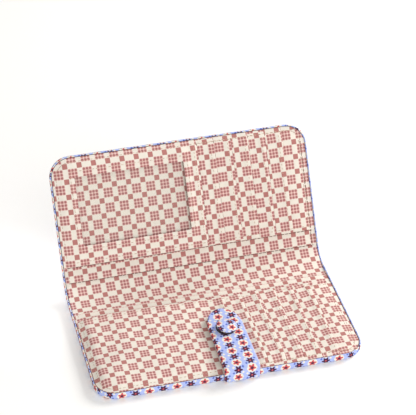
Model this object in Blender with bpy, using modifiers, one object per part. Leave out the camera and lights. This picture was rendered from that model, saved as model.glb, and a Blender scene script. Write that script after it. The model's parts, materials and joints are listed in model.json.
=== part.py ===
"""A padded fabric wallet, open: two panels, a spine and a snap tab.

Units are metres and +Z is up. The lower panel lies on the ground and the origin
is in the middle of its resting face. X runs along the wallet, and the spine and
the upper panel rise behind it, on +Y. Each moving piece hangs from an empty that
stands on its fold. Inside a panel, heights are measured from its outer face, and
depths from its fold towards its free edge.
"""
import math

import bmesh
import bpy
from mathutils import Matrix, Vector

MM = 0.001

# Overall sizes
WIDTH = 190 * MM
PANEL = 93 * MM
SPINE = 26 * MM
CORNER = 15 * MM
LOWER_BEND = math.radians(20)
UPPER_BEND = math.radians(40)
SPINE_FOOT = 8 * MM

# Cloth and layers
GAP = 0.3 * MM
COVER = 1.2 * MM
PADDING = 1.4 * MM
BOARD = 0.8 * MM
CLOTH = 0.5 * MM
VINYL = 0.35 * MM
HINGE_HEIGHT = 0.3 * MM
RIM_LAP = 1.2 * MM
RIM_ROUND = 2.4 * MM
SOFT_EDGE = 0.2 * MM
BOARD_MARGIN = 5 * MM
MITRE_GAP = 0.45 * MM

# Pockets
SLIP_EDGE = 6.4 * MM
CARD_EDGE = 14.2 * MM
SLOT_PITCH = 12.7 * MM
SLOT_LAP = 6 * MM
SLOT_COUNT = 5
END_SEAM = 5.8 * MM
WINDOW_WIDTH = 80 * MM
WINDOW_HEIGHT = 51.5 * MM
WINDOW_SIDE = 17 * MM
WINDOW_EDGE = 28 * MM
WINDOW_CORNER = 1.6 * MM
VINYL_MARGIN = 5 * MM
POCKET_CROWN = 1.0 * MM
WINDOW_CROWN = 0.4 * MM
CROWN_REACH = 30 * MM
SEAM_REACH = 6.5 * MM
SEAM_FADE = 8 * MM
NET = 9 * MM

# Tab and snap
TAB_WIDTH = 25 * MM
TAB_OFFSET = 5.5 * MM
TAB_THICK = 2.4 * MM
TAB_CLOTH = 0.8 * MM
TAB_REACH = 61.5 * MM
TAB_TIP = 19 * MM
TAB_ANCHOR = 30 * MM
ANCHOR_CORNER = 2 * MM
CAP_REACH = 39 * MM
CAP_RADIUS = 7.25 * MM
CAP_HEIGHT = 3.0 * MM
CAP_EDGE = 1.0 * MM
POST_RADIUS = 1.6 * MM
SOCKET_RADIUS = 6 * MM
SOCKET_HEIGHT = 1.8 * MM
SOCKET_WEB = 0.5 * MM
SOCKET_BORE = 2.7 * MM
STUD_RADIUS = 5 * MM
STUD_FLANGE = 0.6 * MM
STUD_BALL = 2.2 * MM
STUD_NECK = 1.8 * MM
STUD_HEIGHT = 1.2 * MM
STUD_WALL = 0.5 * MM
RIVET_RADIUS = 1.0 * MM
RIVET_FLANGE = 0.4 * MM
RIVET_FLANGE_RADIUS = 4.5 * MM

# Making
CUT_OVERRUN = 4 * MM
WELD = 0.001 * MM
FLAT = math.radians(0.5)
ARC_STEPS = 8
ROUND_STEPS = 4
TURN_STEPS = 40
HALF = 0.5

# Where the cascade's first free edge lies: it counts back from the seam at the right end
CASCADE_START = WIDTH * HALF - END_SEAM - SLOT_PITCH * (SLOT_COUNT + 1)

# Where the top panels stop being plump: before the cascade, and before the tab's socket
PLAIN_FROM = min(CASCADE_START - SLOT_LAP - SEAM_FADE, TAB_OFFSET - SOCKET_RADIUS - GAP)

# Heights of the layers above a panel's outer face, as bottom and top
PADDING_AT = (COVER + GAP, COVER + GAP + PADDING)
BOARD_AT = (PADDING_AT[1] + GAP, PADDING_AT[1] + GAP + BOARD)
ANCHOR_ROOF = TAB_THICK + GAP + COVER
LINING_BASE = max(BOARD_AT[1], ANCHOR_ROOF) + GAP
LINING_AT = (LINING_BASE, LINING_BASE + CLOTH)
RIM_HEIGHT = LINING_AT[1] + RIM_LAP
SLIP_AT = (LINING_AT[1] + GAP, LINING_AT[1] + GAP + CLOTH)
CARD_AT = (SLIP_AT[1] + GAP, SLIP_AT[1] + GAP + CLOTH)
SLOT_BASE = CARD_AT[1] + GAP
SLOT_RISE = (CLOTH + GAP) * (SLOT_PITCH + SLOT_LAP) / SLOT_PITCH
TOP_AT = (SLOT_BASE + SLOT_RISE, SLOT_BASE + SLOT_RISE + CLOTH)
VINYL_AT = (TOP_AT[0] - GAP - VINYL, TOP_AT[0] - GAP)
SEAM_DIP = TOP_AT[0] - GAP - CARD_AT[1]

# Folds and tab pivots, seen from the side as (y, z)
FRONT = -PANEL * HALF
LOWER_FOLD = Vector((0, PANEL * HALF, HINGE_HEIGHT))
TAB_X = TAB_OFFSET
TAB_STAND = GAP
FLAP_REST = TOP_AT[1] + GAP + SOCKET_HEIGHT + GAP
CLOSED_THICK = SPINE + HINGE_HEIGHT + HINGE_HEIGHT
FLAP_CLOSED = CLOSED_THICK + GAP + STUD_FLANGE + GAP + SOCKET_HEIGHT + GAP
RISER = FLAP_REST - TAB_THICK
MIDDLE = FLAP_CLOSED - FLAP_REST
FLAP = TAB_REACH + TAB_STAND - MIDDLE
CAP_ALONG = CAP_REACH + TAB_STAND - MIDDLE
STUD_DEPTH = PANEL - (CAP_ALONG - TAB_STAND)
EDGE_INSET = COVER + GAP


# Scene and materials

def clear_scene():
    for old in list(bpy.data.objects):
        bpy.data.objects.remove(old, do_unlink=True)


def new_collection(name):
    made = bpy.data.collections.new(name)
    bpy.context.scene.collection.children.link(made)
    return made


def material(name, colour, roughness=0.8, metallic=0.0, alpha=1.0):
    made = bpy.data.materials.new(name)
    made.use_nodes = True
    shader = made.node_tree.nodes["Principled BSDF"]
    shader.inputs["Base Color"].default_value = (*colour, 1.0)
    shader.inputs["Roughness"].default_value = roughness
    shader.inputs["Metallic"].default_value = metallic
    shader.inputs["Alpha"].default_value = alpha
    return made


# Frames: an empty on each fold, and depth and height inside a panel

def empty(name, parent=None, location=(0, 0, 0), bend=0.0):
    made = bpy.data.objects.new(name, None)
    made.empty_display_size = CORNER
    made.location = location
    made.rotation_euler = (bend, 0, 0)
    made.parent = parent
    PARTS.objects.link(made)
    return made


def level(height):
    """A height above the outer face, as a Z from the fold's axis."""
    return height - HINGE_HEIGHT


# Outlines as (x, depth) points

def arc(centre_x, centre_y, radius_x, radius_y, start, end):
    points = []
    for step in range(ARC_STEPS + 1):
        angle = math.radians(start + (end - start) * step / ARC_STEPS)
        points.append((centre_x + radius_x * math.cos(angle), centre_y + radius_y * math.sin(angle)))
    return points


def panel_outline(inset, near):
    """Two round corners at the free edge, and a straight end at depth near."""
    side = WIDTH * HALF - inset
    far = PANEL - inset
    radius = CORNER - inset
    right = arc(side - radius, far - radius, radius, radius, 0, 90)
    left = arc(radius - side, far - radius, radius, radius, 90, 180)
    return [(-side, near), (side, near)] + right + left


def left_outline(inset, near, right):
    """The left part of a panel, with one round corner."""
    side = WIDTH * HALF - inset
    far = PANEL - inset
    radius = CORNER - inset
    left = arc(radius - side, far - radius, radius, radius, 90, 180)
    return [(-side, near), (right, near), (right, far)] + left


def rectangle(left, right, near, far):
    return [(left, near), (right, near), (right, far), (left, far)]


def round_rectangle(left, right, near, far, radius):
    points = arc(right - radius, near + radius, radius, radius, -90, 0)
    points += arc(right - radius, far - radius, radius, radius, 0, 90)
    points += arc(left + radius, far - radius, radius, radius, 90, 180)
    points += arc(left + radius, near + radius, radius, radius, 180, 270)
    return points


def tab_outline(inset, near, length):
    """A strap with an arched tip."""
    side = TAB_WIDTH * HALF - inset
    tip = TAB_TIP - inset
    return [(-side, near), (side, near)] + arc(0, length - TAB_TIP, side, tip, 0, 180)


# Solids

def link(made, collection, parent, skin):
    collection.objects.link(made)
    made.parent = parent
    if skin is not None:
        made.data.materials.append(skin)
    return made


def plate(name, outlines, bottom, top, parent=None, skin=None, out=1, collection=None):
    """A flat piece from its outline and holes, between two heights; out is -1 where depth runs to -Y."""
    curve = bpy.data.curves.new(name, "CURVE")
    curve.dimensions = "2D"
    curve.fill_mode = "BOTH"
    curve.extrude = (top - bottom) * HALF
    for outline in outlines:
        spline = curve.splines.new("POLY")
        spline.points.add(len(outline) - 1)
        for point, (x, depth) in zip(spline.points, outline):
            point.co = (x, depth * out, 0, 1)
        spline.use_cyclic_u = True
    shape = bpy.data.objects.new(name + "_outline", curve)
    bpy.context.scene.collection.objects.link(shape)
    graph = bpy.context.evaluated_depsgraph_get()
    mesh = bpy.data.meshes.new_from_object(shape.evaluated_get(graph))
    bpy.data.objects.remove(shape, do_unlink=True)
    bpy.data.curves.remove(curve)
    body = bmesh.new()
    body.from_mesh(mesh)
    bmesh.ops.remove_doubles(body, verts=body.verts, dist=WELD)
    bmesh.ops.translate(body, verts=body.verts, vec=(0, 0, (bottom + top) * HALF))
    bmesh.ops.dissolve_limit(body, angle_limit=FLAT, verts=body.verts, edges=body.edges)
    bmesh.ops.recalc_face_normals(body, faces=body.faces)
    body.to_mesh(mesh)
    body.free()
    mesh.name = name
    made = bpy.data.objects.new(name, mesh)
    return link(made, collection or PARTS, parent, skin)


def box(name, low, high, parent=None, skin=None, collection=None):
    body = bmesh.new()
    bmesh.ops.create_cube(body, size=1.0)
    size = Vector(high) - Vector(low)
    middle = (Vector(high) + Vector(low)) * HALF
    bmesh.ops.scale(body, verts=body.verts, vec=size)
    bmesh.ops.translate(body, verts=body.verts, vec=middle)
    mesh = bpy.data.meshes.new(name)
    body.to_mesh(mesh)
    body.free()
    made = bpy.data.objects.new(name, mesh)
    return link(made, collection or PARTS, parent, skin)


def turned(name, profile, parent=None, skin=None, location=(0, 0, 0), collection=None):
    """A profile of (radius, z) points, top to bottom down its outer side, turned about Z."""
    mesh = bpy.data.meshes.new(name)
    ring = profile[0] == profile[-1]
    points = [(radius, 0, z) for radius, z in (profile[:-1] if ring else profile)]
    edges = [(step, step + 1) for step in range(len(points) - 1)]
    if ring:
        edges.append((len(points) - 1, 0))
    mesh.from_pydata(points, edges, [])
    made = bpy.data.objects.new(name, mesh)
    made.location = location
    screw = made.modifiers.new("turn", "SCREW")
    screw.steps = TURN_STEPS
    screw.render_steps = TURN_STEPS
    screw.use_merge_vertices = True
    screw.merge_threshold = WELD
    return link(made, collection or PARTS, parent, skin)


def round_edges(made, radius, steps, chosen):
    """Rounds the edges for which chosen(edge) is true."""
    body = bmesh.new()
    body.from_mesh(made.data)
    edges = [edge for edge in body.edges if chosen(edge)]
    bmesh.ops.bevel(body, geom=edges, offset=radius, segments=steps, profile=HALF, affect="EDGES")
    body.to_mesh(made.data)
    body.free()
    return made


def soften(made, width=SOFT_EDGE):
    """Takes the sharp corner off a sewn edge."""
    bevel = made.modifiers.new("soft_edge", "BEVEL")
    bevel.width = width
    bevel.segments = 1
    bevel.limit_method = "ANGLE"
    bevel.angle_limit = math.radians(50)
    return made


def cut(made, *cutters):
    for cutter in cutters:
        boolean = made.modifiers.new("cut_" + cutter.name, "BOOLEAN")
        boolean.operation = "DIFFERENCE"
        boolean.object = cutter
    return made


def add(made, piece):
    boolean = made.modifiers.new("add_" + piece.name, "BOOLEAN")
    boolean.operation = "UNION"
    boolean.object = piece
    return made


def as_cutter(made):
    made.display_type = "WIRE"
    made.hide_render = True
    return made


def mitre(name, parent, out):
    """Takes away what would pinch when the fold closes: a block whose face leans 45 degrees."""
    reach = WIDTH * HALF + CUT_OVERRUN
    size = RIM_HEIGHT + RIM_HEIGHT
    made = box(name, (-reach, -size - size, -size), (reach, 0, size + size), None, None, CUTTERS)
    turn = Matrix.Rotation(-math.pi / 4, 4, "X")
    made.data.transform(turn)
    made.data.transform(Matrix.Translation((0, MITRE_GAP, 0)))
    if out < 0:
        made.data.transform(Matrix.Rotation(math.pi, 4, "Z"))
    made.parent = parent
    return as_cutter(made)


def hole(name, radius, low, high, parent, location):
    profile = [(0, high), (radius, high), (radius, low), (0, low)]
    return as_cutter(turned(name, profile, parent, None, location, CUTTERS))


# Panels

def on_bottom(height):
    """Edges of a plate's lower face, but not the end at the fold."""
    def chosen(edge):
        flat = all(abs(vertex.co.z - height) < WELD for vertex in edge.verts)
        at_fold = all(abs(vertex.co.y) < CUT_OVERRUN + WELD for vertex in edge.verts)
        return flat and not at_fold
    return chosen


def cover(name, parent, out, skin):
    """The outer cloth: a shallow tray, open at the fold, with a rounded lower edge."""
    outer = plate(name, [panel_outline(0, -CUT_OVERRUN)], level(0), level(RIM_HEIGHT), parent, skin, out)
    round_edges(outer, RIM_ROUND, ROUND_STEPS, on_bottom(level(0)))
    inside = plate(name + "_inside", [panel_outline(COVER, -CUT_OVERRUN - CUT_OVERRUN)],
                   level(COVER), level(RIM_HEIGHT + CUT_OVERRUN), parent, None, out, CUTTERS)
    round_edges(inside, RIM_ROUND - COVER, ROUND_STEPS, on_bottom(level(COVER)))
    return cut(outer, as_cutter(inside))


def panel(prefix, parent, out):
    """The layers that both panels share, from the outside in."""
    fold = mitre(prefix + "_mitre", parent, out)
    shell = cover(prefix + "_cover", parent, out, PRINT)
    pieces = {"cover": shell}
    layers = (("padding", EDGE_INSET, 0, PADDING_AT, BATTING),
              ("board", EDGE_INSET + BOARD_MARGIN, BOARD_MARGIN, BOARD_AT, CARD),
              ("lining", EDGE_INSET, 0, LINING_AT, CHECK),
              ("slip_pocket", EDGE_INSET, SLIP_EDGE, SLIP_AT, CHECK),
              ("card_panel", EDGE_INSET, CARD_EDGE, CARD_AT, CHECK))
    for layer, inset, near, heights, skin in layers:
        name = prefix + "_" + layer
        outline = panel_outline(inset, near)
        pieces[layer] = plate(name, [outline], level(heights[0]), level(heights[1]), parent, skin, out)
    round_edges(pieces["padding"], RIM_ROUND - COVER - GAP, ROUND_STEPS, on_bottom(level(PADDING_AT[0])))
    for piece in pieces.values():
        cut(piece, fold)
    card_slots(prefix, parent, out)
    return pieces


def card_slots(prefix, parent, out):
    """Strips that lie like shingles: each free edge rests on the strip to its right."""
    lean = math.atan2(CLOTH + GAP, SLOT_PITCH)
    near = CARD_EDGE
    far = PANEL - EDGE_INSET
    for number in range(1, SLOT_COUNT + 1):
        right = CASCADE_START + SLOT_PITCH * number
        left = right - SLOT_PITCH - SLOT_LAP
        low = (0, min(near * out, far * out), 0)
        high = (right - left, max(near * out, far * out), CLOTH)
        strip = box(prefix + "_card_slot_" + str(number), low, high, parent, CHECK)
        strip.location = (left, 0, level(SLOT_BASE))
        strip.rotation_euler = (0, -lean, 0)
        soften(strip)


def ease(share):
    """An even rise from 0 to 1 with a level start and end."""
    held = min(max(share, 0), 1)
    return held * held * (1 + 2 * (1 - held))


def inside_outline(x, depth):
    """Distance from a panel's left and free edges, with the round corner between them."""
    side = WIDTH * HALF - EDGE_INSET + x
    free = PANEL - EDGE_INSET - depth
    radius = CORNER - EDGE_INSET
    if side < radius and free < radius:
        return radius - math.hypot(radius - side, radius - free)
    return min(side, free)


def net(length):
    """Distances from a sewn edge at which a plump panel is divided: close in its roll, finer
    than the net where a wide round corner needs it, and then even."""
    close = [SEAM_REACH * step / ROUND_STEPS for step in range(1, ROUND_STEPS + 1)]
    parts = math.ceil((CORNER - EDGE_INSET - SEAM_REACH) / NET)
    corner = [SEAM_REACH + NET * step / parts for step in range(1, parts)]
    return close + corner + [SEAM_REACH + NET * step for step in range(1, int(length / NET))]


def plump(made, crown, out):
    """Swells a plate in its middle and draws its sewn edges down to the layer below."""
    body = bmesh.new()
    body.from_mesh(made.data)
    side = WIDTH * HALF - EDGE_INSET
    free = PANEL - EDGE_INSET
    places = [((reach - side, 0, 0), (1, 0, 0)) for reach in net(side + CASCADE_START)]
    places += [((0, (free - reach) * out, 0), (0, 1, 0)) for reach in net(free - CARD_EDGE)]
    for place, normal in places:
        everything = list(body.verts) + list(body.edges) + list(body.faces)
        bmesh.ops.bisect_plane(body, geom=everything, dist=WELD, plane_co=place, plane_no=normal)
    for vertex in body.verts:
        reach = inside_outline(vertex.co.x, vertex.co.y * out)
        plain = PLAIN_FROM - vertex.co.x
        swell = crown * ease(reach / CROWN_REACH) * ease(plain / CROWN_REACH)
        drawn = SEAM_DIP * ease(1 - reach / SEAM_REACH) * ease(plain / SEAM_FADE)
        vertex.co.z += swell - drawn
    bmesh.ops.triangulate(body, faces=body.faces)
    body.to_mesh(made.data)
    body.free()
    return made


def front_pocket(prefix, parent, out):
    outline = left_outline(EDGE_INSET, CARD_EDGE, CASCADE_START)
    made = plate(prefix + "_front_pocket", [outline], level(TOP_AT[0]), level(TOP_AT[1]), parent, CHECK, out)
    return plump(made, POCKET_CROWN, out)


def lower_panel():
    pieces = panel("lower", LOWER, -1)
    front_pocket("lower", LOWER, -1)
    anchor_seat(pieces)


def anchor_outline(grow):
    side = TAB_WIDTH * HALF + grow
    return round_rectangle(TAB_X - side, TAB_X + side, PANEL - TAB_ANCHOR - grow,
                           PANEL + CUT_OVERRUN, ANCHOR_CORNER + grow)


def anchor_seat(pieces):
    """The cover rises over the tab's sewn end, so that the wallet lies flat on the table."""
    seat = TAB_THICK + GAP
    roof = ANCHOR_ROOF
    side = TAB_WIDTH * HALF + GAP + COVER
    raised = round_rectangle(TAB_X - side, TAB_X + side, PANEL - TAB_ANCHOR - GAP - COVER,
                             PANEL - WELD, ANCHOR_CORNER + GAP + COVER)
    bump = plate("anchor_seat_roof", [raised], level(COVER * HALF), level(roof), LOWER, None, -1, CUTTERS)
    room = plate("anchor_seat_room", [anchor_outline(GAP)], level(-CUT_OVERRUN), level(seat),
                 LOWER, None, -1, CUTTERS)
    clear = plate("anchor_seat_clearance", [anchor_outline(GAP + COVER + GAP)], level(-CUT_OVERRUN),
                  level(roof + GAP), LOWER, None, -1, CUTTERS)
    add(pieces["cover"], as_cutter(bump))
    cut(pieces["cover"], as_cutter(room))
    cut(pieces["padding"], as_cutter(clear))
    cut(pieces["board"], clear)
    anchor = plate("tab_anchor", [round_rectangle(TAB_X - TAB_WIDTH * HALF, TAB_X + TAB_WIDTH * HALF,
                                                  PANEL - TAB_ANCHOR, PANEL + TAB_STAND - GAP * HALF,
                                                  ANCHOR_CORNER)],
                   level(0), level(TAB_THICK), LOWER, PRINT, -1)
    soften(anchor)


def upper_panel():
    pieces = panel("upper", UPPER, 1)
    left = WINDOW_SIDE - WIDTH * HALF
    opening = round_rectangle(left, left + WINDOW_WIDTH, WINDOW_EDGE, WINDOW_EDGE + WINDOW_HEIGHT, WINDOW_CORNER)
    outline = left_outline(EDGE_INSET, CARD_EDGE, CASCADE_START)
    window = plate("id_window_panel", [outline, opening], level(TOP_AT[0]), level(TOP_AT[1]), UPPER, CHECK)
    plump(window, WINDOW_CROWN, 1)
    pane = rectangle(left - VINYL_MARGIN, left + WINDOW_WIDTH + VINYL_MARGIN,
                     WINDOW_EDGE - VINYL_MARGIN, WINDOW_EDGE + WINDOW_HEIGHT + VINYL_MARGIN)
    plate("id_window_vinyl", [pane], level(VINYL_AT[0]), level(VINYL_AT[1]), UPPER, CLEAR)
    snap_stud(pieces)


def snap_stud(pieces):
    """The stud outside the upper cover, and the post that holds it from inside."""
    spot = (TAB_X, STUD_DEPTH, level(0))
    flange_top = COVER + GAP + RIVET_FLANGE
    neck = -GAP - STUD_FLANGE
    tip = neck - STUD_HEIGHT
    bore = RIVET_RADIUS + GAP
    profile = [(0, tip + STUD_WALL), (bore, tip + STUD_WALL), (bore, -GAP), (STUD_RADIUS, -GAP),
               (STUD_RADIUS, neck), (STUD_NECK, neck), (STUD_BALL, neck - STUD_HEIGHT * HALF),
               (STUD_NECK, tip), (0, tip)]
    turned("upper_snap_stud", profile, UPPER, BRASS, spot)
    rivet_end = tip + STUD_WALL + GAP
    rivet = [(0, flange_top), (RIVET_FLANGE_RADIUS, flange_top), (RIVET_FLANGE_RADIUS, COVER + GAP),
             (RIVET_RADIUS, COVER + GAP), (RIVET_RADIUS, rivet_end), (0, rivet_end)]
    turned("upper_snap_post", rivet, UPPER, BRASS, spot)
    cut(pieces["cover"], hole("stud_hole", bore, -CUT_OVERRUN, CUT_OVERRUN, UPPER, spot))
    cut(pieces["padding"], hole("post_room", RIVET_FLANGE_RADIUS + GAP, 0, CUT_OVERRUN, UPPER, spot))


# Spine

def spine_belly(inset, high):
    """The spine's section as (depth, height): slack cloth that lies on the table beside the
    lower fold for the length of its foot, and then turns up in one arc to the upper fold."""
    foot = Vector((SPINE_FOOT * math.cos(LOWER_BEND), -SPINE_FOOT * math.sin(LOWER_BEND)))
    chord = Vector((SPINE, 0)) - foot
    turn = math.atan2(chord.y, chord.x) + LOWER_BEND
    radius = chord.length * HALF / math.sin(turn)
    centre = foot + radius * Vector((math.sin(LOWER_BEND), math.cos(LOWER_BEND)))
    start = math.degrees(-math.pi / 2 - LOWER_BEND)
    rise = arc(centre.x, centre.y, radius - inset, radius - inset, start, start + math.degrees(turn + turn))
    first = Vector((-CUT_OVERRUN, CUT_OVERRUN * math.tan(LOWER_BEND) + inset / math.cos(LOWER_BEND)))
    points = [(first.x, first.y)] + rise + [(SPINE + CUT_OVERRUN, rise[-1][1] + CUT_OVERRUN)]
    floor = [(depth, level(min(height, high - GAP))) for depth, height in points]
    return floor + [(SPINE + CUT_OVERRUN, level(high)), (-CUT_OVERRUN, level(high))]


def prism(name, section, half_width, skin=None, collection=None):
    """A (depth, height) section, drawn out along X to both sides."""
    made = plate(name, [section], -half_width, half_width, BACK, skin, 1, collection)
    made.data.transform(Matrix(((0, 0, 1, 0), (1, 0, 0, 0), (0, 1, 0, 0), (0, 0, 0, 1))))
    return made


def end_edges(half_width, ceiling):
    """The lower edges at the two ends of a prism."""
    def chosen(edge):
        first, second = (vertex.co for vertex in edge.verts)
        at_end = abs(abs(first.x) - half_width) < WELD and abs(first.x - second.x) < WELD
        return at_end and max(first.z, second.z) < ceiling and abs(first.y - second.y) > WELD
    return chosen


def spine():
    """Cover, padding and lining between the two folds."""
    near = mitre("spine_near_mitre", BACK, 1)
    far = mitre("spine_far_mitre", BACK, -1)
    far.data.transform(Matrix.Translation((0, SPINE, 0)))
    side = WIDTH * HALF
    outer = prism("spine_cover", spine_belly(0, RIM_HEIGHT), side, PRINT)
    inside = prism("spine_cover_inside", spine_belly(COVER, RIM_HEIGHT + CUT_OVERRUN), side - COVER,
                   None, CUTTERS)
    padding = prism("spine_padding", spine_belly(EDGE_INSET, PADDING_AT[1]), side - EDGE_INSET, BATTING)
    round_edges(outer, RIM_ROUND, ROUND_STEPS, end_edges(side, level(RIM_HEIGHT)))
    round_edges(inside, RIM_ROUND - COVER, ROUND_STEPS, end_edges(side - COVER, level(RIM_HEIGHT)))
    round_edges(padding, RIM_ROUND - COVER - GAP, ROUND_STEPS, end_edges(side - EDGE_INSET, level(PADDING_AT[1])))
    reach = side - EDGE_INSET
    lining = box("spine_lining", (-reach, 0, level(LINING_AT[0])), (reach, SPINE, level(LINING_AT[1])),
                 BACK, CHECK)
    cut(outer, as_cutter(inside), near, far)
    cut(padding, near, far)
    cut(lining, near, far)


# Tab

def strap(prefix, parent, length, skin_out, skin_in):
    """One stretch of the tab: the outer cloth is a channel round the lining."""
    start = GAP * HALF
    side = TAB_WIDTH * HALF
    outer = box(prefix + "_outer", (-side, start, 0), (side, length - start, TAB_THICK), parent, skin_out)
    inner = side - TAB_CLOTH
    channel = box(prefix + "_channel", (-inner, -CUT_OVERRUN, -CUT_OVERRUN),
                  (inner, length + CUT_OVERRUN, TAB_THICK - TAB_CLOTH), parent, None, CUTTERS)
    cut(outer, as_cutter(channel))
    reach = inner - GAP
    soften(box(prefix + "_lining", (-reach, start, 0), (reach, length - start, CLOTH), parent, skin_in))


def flap():
    """The free end of the tab, with its cloth, interlining and snap."""
    start = GAP * HALF
    spot = (0, CAP_ALONG, 0)
    post = hole("cap_post_room", POST_RADIUS + GAP, -CUT_OVERRUN, CUT_OVERRUN, TAB_END, spot)
    outer = plate("tab_flap_outer", [tab_outline(0, start, FLAP)], 0, TAB_THICK, TAB_END, PRINT)
    room = plate("tab_flap_channel", [tab_outline(TAB_CLOTH, -CUT_OVERRUN, FLAP)], -CUT_OVERRUN,
                 TAB_THICK - TAB_CLOTH, TAB_END, None, 1, CUTTERS)
    cut(outer, as_cutter(room), post)
    inset = TAB_CLOTH + GAP
    stiff_top = TAB_THICK - TAB_CLOTH - GAP
    stiff = plate("tab_flap_interlining", [tab_outline(inset, start, FLAP)], CLOTH + GAP, stiff_top,
                  TAB_END, BATTING)
    lining = plate("tab_flap_lining", [tab_outline(inset, start, FLAP)], 0, CLOTH, TAB_END, CHECK)
    cut(stiff, post)
    cut(lining, post)
    snap_cap(spot)


def snap_cap(spot):
    """The covered cap with its post, and the socket that the post holds on."""
    base = TAB_THICK + GAP
    post_end = -GAP - SOCKET_WEB
    dome = []
    for step in range(ARC_STEPS + 1):
        share = step / ARC_STEPS
        radius = (CAP_RADIUS - CAP_EDGE) * share
        dome.append((radius, base + CAP_HEIGHT - (CAP_HEIGHT - CAP_EDGE - CAP_EDGE) * share * share))
    roll = []
    for x, z in arc(CAP_RADIUS - CAP_EDGE, base + CAP_EDGE, CAP_EDGE, CAP_EDGE, 90, -90)[1:]:
        roll.append((x, z))
    foot = [(POST_RADIUS, base), (POST_RADIUS, post_end), (0, post_end)]
    turned("tab_snap_cap", dome + roll + foot, TAB_END, PRINT, spot)
    top = -GAP
    bottom = top - SOCKET_HEIGHT
    web = top - SOCKET_WEB
    hold = POST_RADIUS + GAP
    round_top = SOCKET_RADIUS - CAP_EDGE * HALF
    socket = [(hold, top), (round_top, top), (SOCKET_RADIUS, top - CAP_EDGE * HALF), (SOCKET_RADIUS, bottom),
              (SOCKET_BORE, bottom), (SOCKET_BORE, web), (hold, web), (hold, top)]
    turned("tab_snap_socket", socket, TAB_END, BRASS, spot)


clear_scene()
PARTS = new_collection("wallet")
CUTTERS = new_collection("cutters")

# Printed cotton outside, check cotton inside
PRINT = material("printed_cotton", (0.36, 0.45, 0.82))
CHECK = material("check_cotton", (0.80, 0.52, 0.46))
BATTING = material("batting", (0.90, 0.90, 0.88), 0.95)
CARD = material("stiffening_board", (0.55, 0.47, 0.38), 0.9)
CLEAR = material("clear_vinyl", (0.85, 0.86, 0.88), 0.15, 0.0, 0.35)
BRASS = material("snap_brass", (0.72, 0.60, 0.36), 0.3, 1.0)

# Folds from the lower panel to the upper, and pivots along the tab
LOWER = empty("lower_frame", None, LOWER_FOLD)
BACK = empty("spine_fold", None, LOWER_FOLD, LOWER_BEND)
UPPER = empty("upper_fold", BACK, (0, SPINE, 0), UPPER_BEND)
RISER_FOLD = empty("tab_riser_fold", None, (TAB_X, FRONT - TAB_STAND, TAB_THICK), math.pi / 2)
MIDDLE_FOLD = empty("tab_middle_fold", RISER_FOLD, (0, RISER, 0), -math.pi / 2)
TAB_END = empty("tab_flap_fold", MIDDLE_FOLD, (0, MIDDLE, 0))

lower_panel()
spine()
upper_panel()
strap("tab_riser", RISER_FOLD, RISER, PRINT, CHECK)
strap("tab_middle", MIDDLE_FOLD, MIDDLE, PRINT, CHECK)
flap()
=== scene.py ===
"""Looks of a padded fabric wallet that lies open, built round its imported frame.

Lengths are metres and +Z is up. The lower panel lies on the table, the spine bends up
behind it and the upper panel leans back. Cloth is measured along a side line, which runs
from the front edge over the lower panel, through the bend and up the upper panel, and
across it along X. Heights are measured from the wallet's outer face.
"""

import json
import logging
import math
from dataclasses import dataclass, field
from enum import Enum
from typing import Callable, ClassVar, Optional, Sequence

import bpy
import numpy as np
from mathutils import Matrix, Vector


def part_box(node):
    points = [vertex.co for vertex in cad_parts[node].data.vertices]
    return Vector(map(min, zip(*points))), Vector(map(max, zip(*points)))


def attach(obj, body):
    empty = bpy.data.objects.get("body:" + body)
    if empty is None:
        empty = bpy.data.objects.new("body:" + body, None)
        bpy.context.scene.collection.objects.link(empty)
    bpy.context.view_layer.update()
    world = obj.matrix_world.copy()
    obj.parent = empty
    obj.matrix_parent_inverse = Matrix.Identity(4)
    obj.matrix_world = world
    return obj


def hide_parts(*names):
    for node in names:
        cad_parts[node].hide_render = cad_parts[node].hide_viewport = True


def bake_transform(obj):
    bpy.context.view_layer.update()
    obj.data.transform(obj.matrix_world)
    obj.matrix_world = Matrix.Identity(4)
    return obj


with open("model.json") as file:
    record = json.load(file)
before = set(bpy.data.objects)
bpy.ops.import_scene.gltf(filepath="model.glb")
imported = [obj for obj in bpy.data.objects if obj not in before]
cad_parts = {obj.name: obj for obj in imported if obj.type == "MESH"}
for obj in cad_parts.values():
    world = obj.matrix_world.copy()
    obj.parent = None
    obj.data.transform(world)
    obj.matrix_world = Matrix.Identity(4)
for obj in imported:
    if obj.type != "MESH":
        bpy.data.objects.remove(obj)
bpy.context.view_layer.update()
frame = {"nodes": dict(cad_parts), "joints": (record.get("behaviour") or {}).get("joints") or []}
LOG = logging.getLogger("wallet")
MM = 0.001
QUARTER = math.pi / 2
ROUND_STEPS = 9
HEM_STEPS = 6
CLOSE = 0.05 * MM
Array = np.ndarray
Shape = Callable[[Array, Array], Array]
Spot = tuple[float, float, float]
Tree, Socket, Node, Piece = bpy.types.NodeTree, bpy.types.NodeSocket, bpy.types.Node, bpy.types.Object


# Small helpers

def linear(hex_colour: str) -> tuple[float, float, float, float]:
    """Turns an sRGB hex value to a linear colour.

    Args:
        hex_colour: six hex digits after a #.

    Returns:
        Red, green, blue and alpha, with alpha 1.
    """
    channels = [int(hex_colour[place:place + 2], 16) / 255 for place in (1, 3, 5)]
    line = [c / 12.92 if c <= 0.04045 else ((c + 0.055) / 1.055) ** 2.4 for c in channels]
    return (line[0], line[1], line[2], 1.0)


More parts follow.
